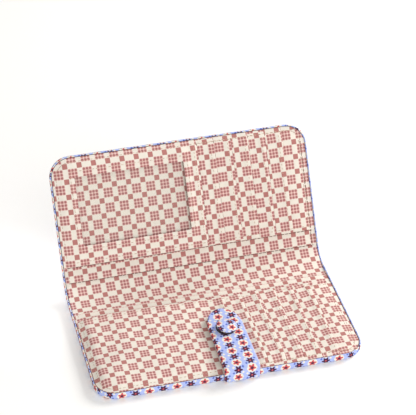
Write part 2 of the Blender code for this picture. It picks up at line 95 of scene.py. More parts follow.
def add(tree: Tree, kind: str, values: Sequence | dict = (), out: Optional[int] = 0,
        **settings: object) -> Optional[Socket]:
    """Adds one node, with its settings, values and links.

    Args:
        tree: the node tree.
        kind: the node's type.
        values: socket values or sockets to link, in order, or a dict by socket.
        out: which output to return, or None where the node has none.
        settings: the node's own settings.

    Returns:
        The chosen output.
    """
    made = tree.nodes.new(kind)
    for name, value in settings.items():
        setattr(made, name, value)
    pairs = values.items() if isinstance(values, dict) else enumerate(values)
    for key, value in pairs:
        if isinstance(value, Socket):
            tree.links.new(value, made.inputs[key])
        else:
            made.inputs[key].default_value = value
    return None if out is None else made.outputs[out]


def smooth(value: Array) -> Array:
    """An even rise from 0 to 1 with a flat start and end."""
    held = np.clip(value, 0, 1)
    return held * held * (3 - 2 * held)


def even(value: float) -> Shape:
    """A shape that has one value everywhere."""
    return lambda x, s: np.full_like(x, value)


def fill(marks: Sequence[float], spacing: float) -> Array:
    """Fills the stretches between marks with even steps.

    Args:
        marks: rising places that the result must hold.
        spacing: the longest step.

    Returns:
        All places, the marks among them.
    """
    places = [marks[0]]
    for low, high in zip(marks[:-1], marks[1:]):
        count = max(1, math.ceil((high - low) / spacing - 1e-6))
        places += list(np.linspace(low, high, count + 1)[1:])
    return np.array(places)


@dataclass(frozen=True)
class Relief:
    """Soft unevenness of cloth: a sum of shallow waves in seeded directions."""

    seed: int
    height: float
    wavelength: float
    waves: int = 14

    def __call__(self, x: Array, s: Array) -> Array:
        """Height of the relief.

        Args:
            x: places across.
            s: lengths along.

        Returns:
            Heights there.
        """
        draw = np.random.default_rng(self.seed)
        total = np.zeros_like(x)
        for _ in range(self.waves):
            way = draw.uniform(0, 2 * math.pi)
            pace = 2 * math.pi / (self.wavelength * draw.uniform(0.6, 1.7))
            shift = draw.uniform(0, 2 * math.pi)
            total = total + np.sin(pace * (x * math.cos(way) + s * math.sin(way)) + shift)
        return total * self.height / math.sqrt(self.waves / 2)


# The wallet's measures, read from the frame

@dataclass(frozen=True)
class Turn:
    """A straight run and the round turn after it; radius is that of the line itself."""

    run: float
    angle: float
    radius: float


class SideLine:
    """A line in the side view, along which cloth is measured."""

    def __init__(self, start: tuple[float, float], heading: float, turns: Sequence[Turn],
                 base: float = 0.0) -> None:
        """Lays the line out.

        Args:
            start: its first point, as (y, z).
            heading: its first direction, as an angle from +Y.
            turns: its runs and turns; a turn is to the left when its angle is above zero.
            base: the height that points on the line itself have.
        """
        self.base = base
        self.parts: list[tuple[float, Array, float, float, float]] = []
        along, point, way = 0.0, np.array(start, float), heading
        for turn in turns:
            self.parts.append((along, point, way, 0.0, 0.0))
            point = point + turn.run * np.array([math.cos(way), math.sin(way)])
            along += turn.run
            side = math.copysign(1.0, turn.angle)
            self.parts.append((along, point, way, side, turn.radius))
            centre = point + side * turn.radius * np.array([-math.sin(way), math.cos(way)])
            way += turn.angle
            point = centre - side * turn.radius * np.array([-math.sin(way), math.cos(way)])
            along += abs(turn.angle) * turn.radius
        self.parts.append((along, point, way, 0.0, 0.0))
        self.end = (along, point, way)

    def place(self, along: Array, height: Array) -> tuple[Array, Array]:
        """Points at a length along the line and a height to its left.

        Args:
            along: lengths along the line.
            height: heights, which are above the line itself by height - base.

        Returns:
            Their y and z.
        """
        y, z = np.zeros_like(along), np.zeros_like(along)
        lift = height - self.base
        for number, (start, point, way, side, radius) in enumerate(self.parts):
            here = along >= start if number else np.ones(along.shape, bool)
            gone = along - start
            if side:
                turned = way + side * gone / radius
                across = np.stack([-np.sin(turned), np.cos(turned)])
                first = side * radius * np.array([-math.sin(way), math.cos(way)])
                spot_y = point[0] + first[0] - side * radius * across[0]
                spot_z = point[1] + first[1] - side * radius * across[1]
            else:
                across = np.array([-math.sin(way), math.cos(way)])[:, None] * np.ones(along.size)
                across = across.reshape((2,) + along.shape)
                spot_y = point[0] + gone * math.cos(way)
                spot_z = point[1] + gone * math.sin(way)
            y = np.where(here, spot_y + lift * across[0], y)
            z = np.where(here, spot_z + lift * across[1], z)
        return y, z

    def swept(self, along: Array) -> Array:
        """The angle that the line has turned to the left, up to a length along it.

        Args:
            along: lengths along the line.

        Returns:
            Angles, in radians.
        """
        total = np.zeros_like(along)
        for (start, _, _, side, radius), following in zip(self.parts, self.parts[1:]):
            if side:
                total = total + side * np.clip(along - start, 0, following[0] - start) / radius
        return total


class Panel(Enum):
    """The wallet's two panels, named as their bodies are."""

    LOWER = "lower_panel"
    UPPER = "upper_panel"

    @property
    def prefix(self) -> str:
        """The first word of the panel's node names."""
        return self.value.split("_")[0]


@dataclass(frozen=True)
class Measures:
    """Sizes that several sub-assemblies share, in the wallet's own frame."""

    corner: float = 15 * MM
    lean: float = math.radians(60)
    outer_bend: float = 11.5 * MM
    inner_bend: float = 14 * MM
    seam_inset: float = 1.5 * MM
    cloth: float = 0.5 * MM
    seam_cloth: float = 0.34 * MM
    sewn: float = 7 * MM
    step: float = 1.7 * MM
    mid_spine: float = 104 * MM
    fold_zone: float = 7 * MM
    pivots: dict = field(default_factory=lambda: {j["name"]: j["pos_m"] for j in frame["joints"]})

    @property
    def width(self) -> float:
        """The wallet's width across."""
        low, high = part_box("lower_cover")
        return high.x - low.x

    @property
    def front(self) -> float:
        """Y of the front edge."""
        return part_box("lower_cover")[0].y

    @property
    def rim(self) -> float:
        """Height of the cover's turned-up rim."""
        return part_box("lower_cover")[1].z

    @property
    def lower_fold(self) -> tuple[float, float]:
        """(y, z) of the fold beside the lower panel."""
        return tuple(self.pivots["lower_fold"][1:])

    @property
    def upper_fold(self) -> tuple[float, float]:
        """(y, z) of the fold beside the upper panel."""
        return tuple(self.pivots["upper_fold"][1:])

    @property
    def panel(self) -> float:
        """A panel's length from fold to free edge."""
        return self.lower_fold[0] - self.front

    def top(self, node: str) -> float:
        """Height of a lower node's upper face."""
        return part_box(node)[1].z

    def side_line(self, height: float, bend: float) -> SideLine:
        """The side line at one height above the outer face.

        Args:
            height: the line's height.
            bend: how far its round turn starts before the corner of its two straight runs.

        Returns:
            The line.
        """
        pivot_y, pivot_z = self.upper_fold
        hinge = self.lower_fold[1]
        rise = height - hinge
        y = pivot_y - rise * math.sin(self.lean)
        z = pivot_z + rise * math.cos(self.lean)
        corner = y - (z - height) / math.tan(self.lean)
        radius = bend / math.tan(self.lean / 2)
        turns = [Turn(corner - bend - self.front, self.lean, radius)]
        return SideLine((self.front, height), 0.0, turns, height)

    def along_upper(self, line: SideLine, depth: float) -> float:
        """Length along a line of a place on the upper panel.

        Args:
            line: the side line.
            depth: the place's depth from the upper fold.

        Returns:
            The length.
        """
        start, point, way = line.end
        fold_y, fold_z = self.upper_fold
        reach = (fold_y - point[0]) * math.cos(way) + (fold_z - point[1]) * math.sin(way)
        return start + reach + depth

    def half_width(self, free: Array, inset: float) -> Array:
        """Half the panel's width at a distance from its free edge's line.

        Args:
            free: distances from the free edge.
            inset: how far inside the outline.

        Returns:
            Half widths.
        """
        radius = self.corner - inset
        short = np.clip(radius - (free - inset), 0, radius)
        return self.width / 2 - inset - radius + np.sqrt(np.maximum(radius ** 2 - short ** 2, 0))

    def from_edge(self, x: Array, free: Array) -> Array:
        """Distance inside the panel's outline, with its round corners.

        Args:
            x: places across.
            free: distances from the free edge's line.

        Returns:
            Distances.
        """
        side = self.width / 2 - np.abs(x)
        deep_x, deep_s = self.corner - side, self.corner - free
        in_corner = (deep_x > 0) & (deep_s > 0)
        round_one = self.corner - np.hypot(np.maximum(deep_x, 0), np.maximum(deep_s, 0))
        return np.where(in_corner, round_one, np.minimum(side, free))


SIZES = Measures()
INNER = SIZES.side_line(SIZES.top("lower_lining"), SIZES.inner_bend)
OUTER = SIZES.side_line(0.0, SIZES.outer_bend)


@dataclass(frozen=True)
class Reach:
    """Where a panel lies on a side line: how its own depths become lengths along the line."""

    panel: Panel
    line: SideLine

    @property
    def free_end(self) -> float:
        """Length along the line of the free edge."""
        return 0.0 if self.panel is Panel.LOWER else SIZES.along_upper(self.line, SIZES.panel)

    def along(self, depth: float) -> float:
        """Length along the line of a depth from the panel's fold."""
        return SIZES.panel - depth if self.panel is Panel.LOWER else SIZES.along_upper(self.line, depth)

    def free(self, s: Array) -> Array:
        """Distance from the free edge's line of a length along."""
        return s if self.panel is Panel.LOWER else self.free_end - s

    def inside(self, x: Array, s: Array) -> Array:
        """Distance inside the panel's outline."""
        return SIZES.from_edge(x, self.free(s))


# Cloth as closed meshes

@dataclass
class Patch:
    """A grid of cloth in (x, s), rows along s, and which of its squares are kept."""

    x: Array
    s: Array
    kept: Array

    @classmethod
    def straight(cls, columns: Array, rows: Array) -> "Patch":
        """A rectangle from its columns and rows."""
        x, s = np.meshgrid(columns, rows)
        return cls(x, s, np.ones((rows.size - 1, columns.size - 1), bool))

    @classmethod
    def on_panel(cls, reach: Reach, inset: float, columns: Array, frees: Array) -> "Patch":
        """A piece of a panel, with round corners where its sides are the panel's.

        Args:
            reach: the panel and its line.
            inset: how far inside the outline its seam lies.
            columns: x of the columns, which take the outline's place where they pass it.
            frees: rising distances from the free edge; rows for the round corners are added.

        Returns:
            The grid.
        """
        radius = SIZES.corner - inset
        arc = inset + radius * (1 - np.cos(np.linspace(0, QUARTER, ROUND_STEPS)))
        frees = np.unique(np.round(np.concatenate([arc, frees[frees > arc[-1] + 0.3 * MM]]), 7))
        rows = []
        for free in frees:
            most = float(SIZES.half_width(np.array(free), inset))
            full = SIZES.width / 2 - inset
            low = -most if columns[0] <= -full + MM else columns[0]
            high = most if columns[-1] >= full - MM else columns[-1]
            rows.append(low + (columns - columns[0]) * (high - low) / (columns[-1] - columns[0]))
        x = np.array(rows)
        s = np.repeat(reach.free(frees)[:, None], columns.size, 1)
        if reach.panel is Panel.UPPER:
            x, s = x[::-1], s[::-1]
        return cls(x, s, np.ones((frees.size - 1, columns.size - 1), bool))

    def open_window(self, low: tuple[float, float], high: tuple[float, float], radius: float) -> None:
        """Cuts a window with round corners; the grid has lines on its edges.

        Args:
            low: its lowest x and s.
            high: its highest x and s.
            radius: its corners' radius.
        """
        middle_x = (self.x[:-1, :-1] + self.x[1:, 1:]) / 2
        middle_s = (self.s[:-1, :-1] + self.s[1:, 1:]) / 2
        self.kept &= ~((middle_x > low[0]) & (middle_x < high[0])
                       & (middle_s > low[1]) & (middle_s < high[1]))
        for side_x, side_s in ((1, 1), (-1, 1), (1, -1), (-1, -1)):
            edge = (low[0] if side_x > 0 else high[0], low[1] if side_s > 0 else high[1])
            off_x = (self.x - edge[0]) * side_x - radius
            off_s = (self.s - edge[1]) * side_s - radius
            slack = 0.2 * MM
            near = ((off_x <= 0) & (off_s <= 0)
                    & (off_x >= -radius - slack) & (off_s >= -radius - slack))
            far = np.hypot(off_x, off_s)
            moved = near & (far > radius)
            share = np.where(moved, radius / np.maximum(far, 1e-9), 1.0)
            self.x = np.where(moved, edge[0] + side_x * (radius + off_x * share), self.x)
            self.s = np.where(moved, edge[1] + side_s * (radius + off_s * share), self.s)


def loops_of(squares: Array) -> list[list[int]]:
    """The directed loops of points round a grid's edge and its holes.

    Args:
        squares: point numbers of each square, counterclockwise.

    Returns:
        The loops, with the squares on their left.
    """
    edges = set()
    for square in squares.tolist():
        edges.update(zip(square, square[1:] + square[:1]))
    after = {a: b for a, b in sorted(edges) if (b, a) not in edges}
    loops = []
    while after:
        first = min(after)
        loop = [first]
        following = after.pop(first)
        while following != first:
            loop.append(following)
            following = after.pop(following)
        loops.append(loop)
    return loops


def outward(x: Array, s: Array) -> tuple[Array, Array]:
    """The way out of a loop at each of its points.

    Args:
        x: the loop's points across.
        s: the same points along.

    Returns:
        The two parts of a direction with length 1.
    """
    step_x, step_s = np.roll(x, -1) - x, np.roll(s, -1) - s
    length = np.maximum(np.hypot(step_x, step_s), 1e-9)
    side_x, side_s = step_s / length, -step_x / length
    out_x, out_s = side_x + np.roll(side_x, 1), side_s + np.roll(side_s, 1)
    size = np.maximum(np.hypot(out_x, out_s), 1e-9)
    return out_x / size, out_s / size


def hem(thick: Array) -> Array:
    """The half-round profile of a folded edge: how far out and up each of its rings lies.

    Args:
        thick: the cloth's thickness at each point of the edge.

    Returns:
        For each point, rings of (out, up) from the upper face to the lower.
    """
    angles = np.linspace(0, math.pi, HEM_STEPS)
    radius = thick[:, None] / 2
    return np.stack([radius * np.sin(angles), -radius * (1 - np.cos(angles))], axis=2)


def same_edge(rings: Sequence[tuple[float, float]]) -> Callable[[Array], Array]:
    """An edge profile whose rings of (out, up) are the same at every point."""
    return lambda thick: np.tile(np.array(rings), (thick.size, 1, 1))


@dataclass
class Cloth:
    """One piece of cloth, made into a closed mesh that follows a side line."""

    name: str
    patch: Patch
    line: SideLine
    top: Shape
    thick: Shape
    edge: Callable[[Array], Array] = hem
    cuts: tuple[float, ...] = ()
    grain: tuple[float, float, float] = (0.0, 0.0, 0.0)
    measured_below: bool = False
    offset_x: float = 0.0
    pattern_height: float = 0.0

    def build(self, finish: "Finish") -> Piece:
        """Makes the mesh.

        Args:
            finish: the cloth's finish.

        Returns:
            The object, with the pattern's measures in millimetres as its UV map.
        """
        number = np.arange(self.patch.x.size).reshape(self.patch.x.shape)
        corners = (number[:-1, :-1], number[:-1, 1:], number[1:, 1:], number[1:, :-1])
        squares = np.stack([corner[self.patch.kept] for corner in corners], axis=1)
        used, squares = np.unique(squares, return_inverse=True)
        squares = squares.reshape(-1, 4)
        x, s = self.patch.x.ravel()[used], self.patch.s.ravel()[used]
        top, thick = self.top(x, s), self.thick(x, s)
        xs, ss, lifts = [x, x], [s, s], [top, top - thick]
        maps_u, maps_v = [x, x], [s, s]
        faces = [squares, squares[:, ::-1] + x.size]
        total = 2 * x.size
        for loop in map(np.array, loops_of(squares)):
            lx, ls, lift = x[loop], s[loop], top[loop]
            out_x, out_s, rings = self.turned_edge(lx, ls, thick[loop])
            gone = np.diff(rings, axis=1, prepend=rings[:, :1])
            run = np.cumsum(np.hypot(gone[:, :, 0], gone[:, :, 1]), axis=1)
            far = run[:, -1:] - run if self.measured_below else run
            ring_ids = [loop]
            for ring in range(1, rings.shape[1] - 1):
                xs.append(lx + out_x * rings[:, ring, 0])
                ss.append(ls + out_s * rings[:, ring, 0])
                lifts.append(lift + rings[:, ring, 1])
                maps_u.append(lx + out_x * far[:, ring])
                maps_v.append(ls + out_s * far[:, ring])
                ring_ids.append(np.arange(total, total + loop.size))
                total += loop.size
            ring_ids.append(loop + x.size)
            for upper, lower in zip(ring_ids[:-1], ring_ids[1:]):
                faces.append(np.stack([np.roll(upper, -1), upper, lower, np.roll(lower, -1)], axis=1))
        x, s, lift = (np.concatenate(part) for part in (xs, ss, lifts))
        y, z = self.line.place(s, lift)
        points = np.stack([x + self.offset_x, y, z], axis=1)
        across, along = np.concatenate(maps_u) / MM, np.concatenate(maps_v)
        along = (along - self.pattern_height * self.line.swept(along)) / MM
        start_u, start_v, turn = self.grain
        cos, sin = math.cos(math.radians(turn)), math.sin(math.radians(turn))
        uv = np.stack([across * cos - along * sin + start_u,
                       across * sin + along * cos + start_v], axis=1)
        return mesh_object(self.name, points, np.concatenate(faces), uv, finish)

    def turned_edge(self, x: Array, s: Array, thick: Array) -> tuple[Array, Array, Array]:
        """How the edge turns over along one loop; where the cloth is cut it falls straight down.

        Args:
            x: the loop's points across.
            s: the same points along.
            thick: the cloth's thickness there.

        Returns:
            The two parts of each point's way out, and its rings of (out, up).
        """
        out_x, out_s = outward(x, s)
        rings = self.edge(thick)
        if self.cuts:
            on_cut = np.min(np.abs(s[:, None] - np.array(self.cuts)), axis=1) < CLOSE
            at_side = on_cut & (np.roll(~on_cut, 1) | np.roll(~on_cut, -1))
            out_s = np.where(on_cut, 0, out_s)
            out_x = np.where(at_side, np.sign(out_x), out_x)
            fall = -thick[:, None] * np.linspace(0, 1, rings.shape[1])
            plain = np.stack([np.zeros_like(fall), fall], axis=2)
            rings = np.where((on_cut & ~at_side)[:, None, None], plain, rings)
        return out_x, out_s, rings


def mesh_object(name: str, points: Array, faces: Sequence, uv: Optional[Array],
                finish: "Finish", sharp: float = 55.0) -> Piece:
    """Makes an object from points and faces.

    Args:
        name: the piece's name.
        points: its points.
        faces: point numbers of each face.
        uv: pattern coordinates of each point, or None.
        finish: its finish.
        sharp: edges with more degrees than this stay sharp.

    Returns:
        The object, linked to the scene.
    """
    mesh = bpy.data.meshes.new(name)
    mesh.from_pydata(points.tolist(), [], [list(map(int, face)) for face in faces])
    if uv is not None:
        layer = mesh.uv_layers.new(name=Finish.UV)
        corner = np.zeros(len(mesh.loops), np.int32)
        mesh.loops.foreach_get("vertex_index", corner)
        layer.data.foreach_set("uv", uv[corner].astype(np.float32).ravel())
    mesh.shade_smooth()
    mesh.set_sharp_from_angle(angle=math.radians(sharp))
    mesh.materials.append(finish.material())
    made = bpy.data.objects.new(name, mesh)
    bpy.context.scene.collection.objects.link(made)
    return made


# Finishes

@dataclass(frozen=True)
class Finish:
    """What every finish has. Its material is made once, under the finish's name."""

    UV: ClassVar[str] = "cloth"
    MADE: ClassVar[dict] = {}
    name: str = "plain"
    roughness: float = 0.9

    def material(self) -> bpy.types.Material:
        """Makes the material at the first call.

        Returns:
            The material.
        """
        if self.name in self.MADE:
            return self.MADE[self.name]
        made = self.MADE[self.name] = bpy.data.materials.new(self.name)
        made.use_nodes = True
        shader = made.node_tree.nodes["Principled BSDF"]
        shader.inputs["Roughness"].default_value = self.roughness
        self.dress(made.node_tree, shader)
        return made

    def dress(self, tree: Tree, shader: Node) -> None:
        """Adds the finish's own nodes; each finish has its own."""


MATH, VECTOR, MIX = "ShaderNodeMath", "ShaderNodeVectorMath", "ShaderNodeMix"
RANGE, NOISE, BUMP = "ShaderNodeMapRange", "ShaderNodeTexNoise", "ShaderNodeBump"
IN_COLOUR = {"out": 2, "data_type": "RGBA", "clamp_factor": True}
SOFTLY = {"interpolation_type": "SMOOTHSTEP"}


def band(tree: Tree, value: Socket, pitch: float, half: float, soft: float) -> Socket:
    """A mask of even stripes.

    Args:
        tree: the node tree.
        value: the coordinate, in millimetres, with a stripe's middle at zero.
        pitch: from stripe to stripe.
        half: half a stripe's width.
        soft: half the width of its edge.

    Returns:
        1 on the stripes and 0 between them.
    """
    far = add(tree, MATH, (value, pitch / 2), operation="PINGPONG")
    return add(tree, RANGE, (far, half - soft, half + soft, 1.0, 0.0), **SOFTLY)


@dataclass(frozen=True)
class WovenCotton(Finish):
    """Plain-weave quilting cotton: matt, with a fine even thread and a soft sheen at grazing light.

    Real threads lie about 0.3 mm apart, too fine for the picture, so they are drawn 0.55 mm apart.
    """

    thread: float = 0.55
    thread_share: float = 0.35
    slub_scale: float = 0.35
    weave_strength: float = 0.5
    weave_depth: float = 0.03 * MM
    sheen: float = 0.12
    sheen_roughness: float = 0.45
    specular: float = 0.25
    # Painted shade and highlight of the weave: the colour's factor between the threads and on their tops.
    between_threads: float = 0.94
    on_threads: float = 1.03

    def weave(self, tree: Tree, shader: Node) -> tuple[Socket, Socket, Socket]:
        """Adds the threads' bump and the sheen.

        Args:
            tree: the node tree.
            shader: the main shader.

        Returns:
            The cloth's two coordinates in millimetres, and the weave's height from 0 to 1.
        """
        place = add(tree, "ShaderNodeUVMap", uv_map=self.UV)
        across, along = add(tree, "ShaderNodeSeparateXYZ", (place,)).node.outputs[:2]
        waves = []
        for value in (across, along):
            turn = add(tree, MATH, (value, 2 * math.pi / self.thread), operation="MULTIPLY")
            waves.append(add(tree, MATH, (turn,), operation="SINE"))
        product = add(tree, MATH, waves, operation="MULTIPLY")
        slub = add(tree, NOISE, {"Vector": place, "Scale": self.slub_scale, "Detail": 3.0})
        height = add(tree, MATH, (product, self.thread_share, slub), operation="MULTIPLY_ADD")
        bump = add(tree, BUMP, {"Strength": self.weave_strength, "Distance": self.weave_depth,
                                "Height": height})
        tree.links.new(bump, shader.inputs["Normal"])
        shader.inputs["Sheen Weight"].default_value = self.sheen
        shader.inputs["Sheen Roughness"].default_value = self.sheen_roughness
        shader.inputs["Specular IOR Level"].default_value = self.specular
        return across, along, height

    def ink(self, tree: Tree, shader: Node, colour: Socket, height: Socket) -> None:
        """Colours the cloth, with painted shade between its threads and a painted highlight on their tops.

        Args:
            tree: the node tree.
            shader: the main shader.
            colour: the print's colour.
            height: the weave's height.
        """
        # Painted shade: the colour follows the weave's height, darker between the threads and lighter on
        # their tops; the slub noise in the height varies it at random.
        shade = add(tree, RANGE, (height, 0.1, 0.9, self.between_threads, self.on_threads))
        weave_shaded = add(tree, VECTOR, (colour, shade), operation="MULTIPLY")
        tree.links.new(weave_shaded, shader.inputs["Base Color"])


@dataclass(frozen=True)
class CheckCotton(WovenCotton):
    """The lining: cotton printed with a woven check of cream bars, rose squares and dotted blocks.

    Ink on cotton is flat and chalky, so nothing on it shines.
    """

    name: str = "check_cotton"
    across: float = 10.4
    along: float = 10.9
    wide_share: float = 0.652
    dots: int = 3
    dot_share: float = 0.31
    soft: float = 0.12
    cream: str = "#E6DFD4"
    rose: str = "#B37772"
    ground: str = "#E6D1C9"
    line: str = "#D4A59F"
    dot: str = "#A26969"

    def dress(self, tree: Tree, shader: Node) -> None:
        """Adds the check.

        Args:
            tree: the node tree.
            shader: the main shader.
        """
        across, along, height = self.weave(tree, shader)
        wide, lines = [], []
        for value, pitch in ((across, self.across), (along, self.along)):
            wide.append(band(tree, value, pitch, pitch * self.wide_share / 2, self.soft))
            fine = pitch * self.wide_share / self.dots
            folded = add(tree, MATH, (value, pitch / 2), operation="PINGPONG")
            lines.append(band(tree, folded, fine, fine * self.dot_share, self.soft))
        either = add(tree, MATH, lines, operation="MAXIMUM")
        both = add(tree, MATH, lines, operation="MULTIPLY")
        cream, rose, dot = linear(self.cream), linear(self.rose), linear(self.dot)
        block = add(tree, MIX, {0: either, 6: linear(self.ground), 7: linear(self.line)}, **IN_COLOUR)
        block = add(tree, MIX, {0: both, 6: block, 7: dot}, **IN_COLOUR)
        narrow = add(tree, MIX, {0: wide[1], 6: rose, 7: cream}, **IN_COLOUR)
        broad = add(tree, MIX, {0: wide[1], 6: cream, 7: block}, **IN_COLOUR)
        colour = add(tree, MIX, {0: wide[0], 6: narrow, 7: broad}, **IN_COLOUR)
        self.ink(tree, shader, colour, height)


@dataclass(frozen=True)
class PrintedCotton(WovenCotton):
    """The outside: periwinkle cotton with a plain half-drop of round cream patches, each with a
    five-petalled flower, and small dark flowers and specks between them."""

    name: str = "printed_cotton"
    column: float = 9.6
    drop: float = 12.4
    soft: float = 0.1
    speck_aside: float = 3.3
    speck_along: float = 2.1
    ground: str = "#ACBBEE"
    cream: str = "#E9E3D6"
    coral: str = "#CF5B5E"
    plum: str = "#4B2542"
    speck: str = "#6072C4"

    def flower(self, tree: Tree, spot: tuple[Socket, Socket], size: float, petals: int, waist: float,
               turn: float) -> Socket:
        """A mask of a flower.

        Args:
            tree: the node tree.
            spot: the two coordinates from its middle, in millimetres.
            size: its radius at the petals' tips.
            petals: how many petals it has.
            waist: the share of the radius that the petals take; at 0 it is a disc.
            turn: its turn, in radians.

        Returns:
            1 on the flower and 0 round it.
        """
        angle = add(tree, MATH, (spot[1], spot[0]), operation="ARCTAN2")
        wave = add(tree, MATH, (angle, float(petals), turn), operation="MULTIPLY_ADD")
        swing = add(tree, MATH, (wave,), operation="COSINE")
        middle = size * (1 - waist / 2)
        edge = add(tree, MATH, (swing, size * waist / 2, middle), operation="MULTIPLY_ADD")
        flat = add(tree, "ShaderNodeCombineXYZ", (spot[0], spot[1], 0.0))
        away = add(tree, VECTOR, (flat,), out=1, operation="LENGTH")
        past = add(tree, MATH, (away, edge), operation="SUBTRACT")
        return add(tree, RANGE, (past, -self.soft, self.soft, 1.0, 0.0), **SOFTLY)

    def cell(self, tree: Tree, across: Socket, along: Socket, aside: float,
             ahead: float) -> tuple[Socket, Socket]:
        """Coordinates from the middle of the nearest place of a half-drop repeat.

        Args:
            tree: the node tree.
            across: the first coordinate.
            along: the second.
            aside: how far the repeat is moved across, in millimetres.
            ahead: how far it is moved along.

        Returns:
            The two coordinates, in millimetres.
        """
        moved = add(tree, MATH, (across, aside + self.column / 2), operation="ADD")
        count = add(tree, MATH, (moved, self.column), operation="DIVIDE")
        whole = add(tree, MATH, (count,), operation="FLOOR")
        part = add(tree, MATH, (count, whole), operation="SUBTRACT")
        first = add(tree, MATH, (part, self.column, -self.column / 2), operation="MULTIPLY_ADD")
        dropped = add(tree, MATH, (whole, self.drop / 2, along), operation="MULTIPLY_ADD")
        lifted = add(tree, MATH, (dropped, ahead + self.drop / 2), operation="ADD")
        share = add(tree, MATH, (lifted, self.drop), operation="DIVIDE")
        rest = add(tree, MATH, (share,), operation="FRACT")
        second = add(tree, MATH, (rest, self.drop, -self.drop / 2), operation="MULTIPLY_ADD")
        return first, second

    def dress(self, tree: Tree, shader: Node) -> None:
        """Adds the print, one ink over the other.

        Args:
            tree: the node tree.
            shader: the main shader.
        """
        across, along, height = self.weave(tree, shader)
        half = self.drop / 2
        patch = self.cell(tree, across, along, 0.0, 0.0)
        between = self.cell(tree, across, along, 0.0, half)
        # Each ink: its place, radius in millimetres, petals, their share, turn and colour.
        inks = [(patch, 3.7, 8, 0.08, 0.0, self.cream), (patch, 2.9, 5, 0.42, 0.9, self.coral),
                (patch, 1.3, 5, 0.4, 0.9, self.plum), (between, 3.1, 6, 0.42, 0.3, self.plum),
                (between, 0.6, 1, 0.0, 0.0, self.coral)]
        for aside, ahead, tint in ((-1, -1, self.speck), (1, -1, self.cream),
                                   (-1, 1, self.cream), (1, 1, self.speck)):
            dot = self.cell(tree, across, along, aside * self.speck_aside, half + ahead * self.speck_along)
            inks.append((dot, 0.95, 4, 0.3, 0.0, tint))
        colour = linear(self.ground)
        for spot, size, petals, waist, turn, tint in inks:
            mask = self.flower(tree, spot, size, petals, waist, turn)
            colour = add(tree, MIX, {0: mask, 6: colour, 7: linear(tint)}, **IN_COLOUR)
        self.ink(tree, shader, colour, height)


@dataclass(frozen=True)
class Mottled(Finish):
    """A finish of two tones and a relief, which follow one texture in the piece's own space."""

    low: str = "#808080"
    high: str = "#C0C0C0"
    scale: float = 300.0
    detail: float = 3.0
    strength: float = 0.3
    depth: float = 0.05 * MM

    def texture(self, tree: Tree, place: Socket) -> Socket:
        """What the two tones follow, from 0 to 1."""
        return add(tree, NOISE, {"Vector": place, "Scale": self.scale, "Detail": self.detail})

    def marks(self, tree: Tree, place: Socket, texture: Socket) -> Socket:
        """What the relief follows: the same texture, unless the finish has marks of its own."""
        return texture

    def dress(self, tree: Tree, shader: Node) -> None:
        """Adds the tones and the relief.

        Args:
            tree: the node tree.
            shader: the main shader.
        """
        place = add(tree, "ShaderNodeTexCoord", out=3)
        texture = self.texture(tree, place)
        tone = add(tree, MIX, {0: texture, 6: linear(self.low), 7: linear(self.high)}, **IN_COLOUR)
        height = self.marks(tree, place, texture)
        bump = add(tree, BUMP, {"Strength": self.strength, "Distance": self.depth, "Height": height})
        tree.links.new(tone, shader.inputs["Base Color"])
        tree.links.new(bump, shader.inputs["Normal"])


@dataclass(frozen=True)
class CottonBatting(Mottled):
    """Bonded cotton batting: white, very matt and fluffy, in tufts of fibre about 1.5 mm across."""

    name: str = "cotton_batting"
    roughness: float = 1.0
    low: str = "#DAD6CC"
    high: str = "#F2F0EA"
    scale: float = 650.0
    detail: float = 5.0
    strength: float = 0.8
    depth: float = 0.3 * MM


@dataclass(frozen=True)
class BoardSheet(Mottled):
    """A thin polypropylene stiffening sheet: pale grey, calendered, with a faint satin grain and a
    mottle about 3 mm across."""

    name: str = "stiffening_board"
    roughness: float = 0.55
    low: str = "#BDBBB3"
    high: str = "#CFCDC6"
    scale: float = 330.0
    detail: float = 4.0


@dataclass(frozen=True)
class LacqueredBrass(Mottled):
    """Pressed brass under clear lacquer: warm metal of a slightly uneven tone, softly polished,
    with fine press marks about 0.4 mm across."""

    name: str = "lacquered_brass"
    roughness: float = 0.26
    low: str = "#B99A5E"
    high: str = "#D9BE86"
    scale: float = 420.0
    strength: float = 0.15
    depth: float = 0.02 * MM
    mark_scale: float = 2500.0
    mark_detail: float = 2.0
    lacquer: float = 0.3

    def marks(self, tree: Tree, place: Socket, texture: Socket) -> Socket:
        """The press marks."""
        return add(tree, NOISE, {"Vector": place, "Scale": self.mark_scale, "Detail": self.mark_detail})

    def dress(self, tree: Tree, shader: Node) -> None:
        """Adds the metal and its lacquer.

        Args:
            tree: the node tree.
            shader: the main shader.
        """
        super().dress(tree, shader)
        shader.inputs["Metallic"].default_value = 1.0
        shader.inputs["Coat Weight"].default_value = self.lacquer


@dataclass(frozen=True)
class SpunThread(Mottled):
    """Spun polyester sewing thread: beige, softly shining, with a twist about 0.5 mm long."""

    name: str = "sewing_thread"
    roughness: float = 0.6
    low: str = "#9E7A6A"
    high: str = "#D6BBA6"
    scale: float = 320.0
    strength: float = 0.4

    def texture(self, tree: Tree, place: Socket) -> Socket:
        """The twist."""
        return add(tree, "ShaderNodeTexWave", {"Vector": place, "Scale": self.scale, "Distortion": 1.0},
                   out=1, bands_direction="DIAGONAL")


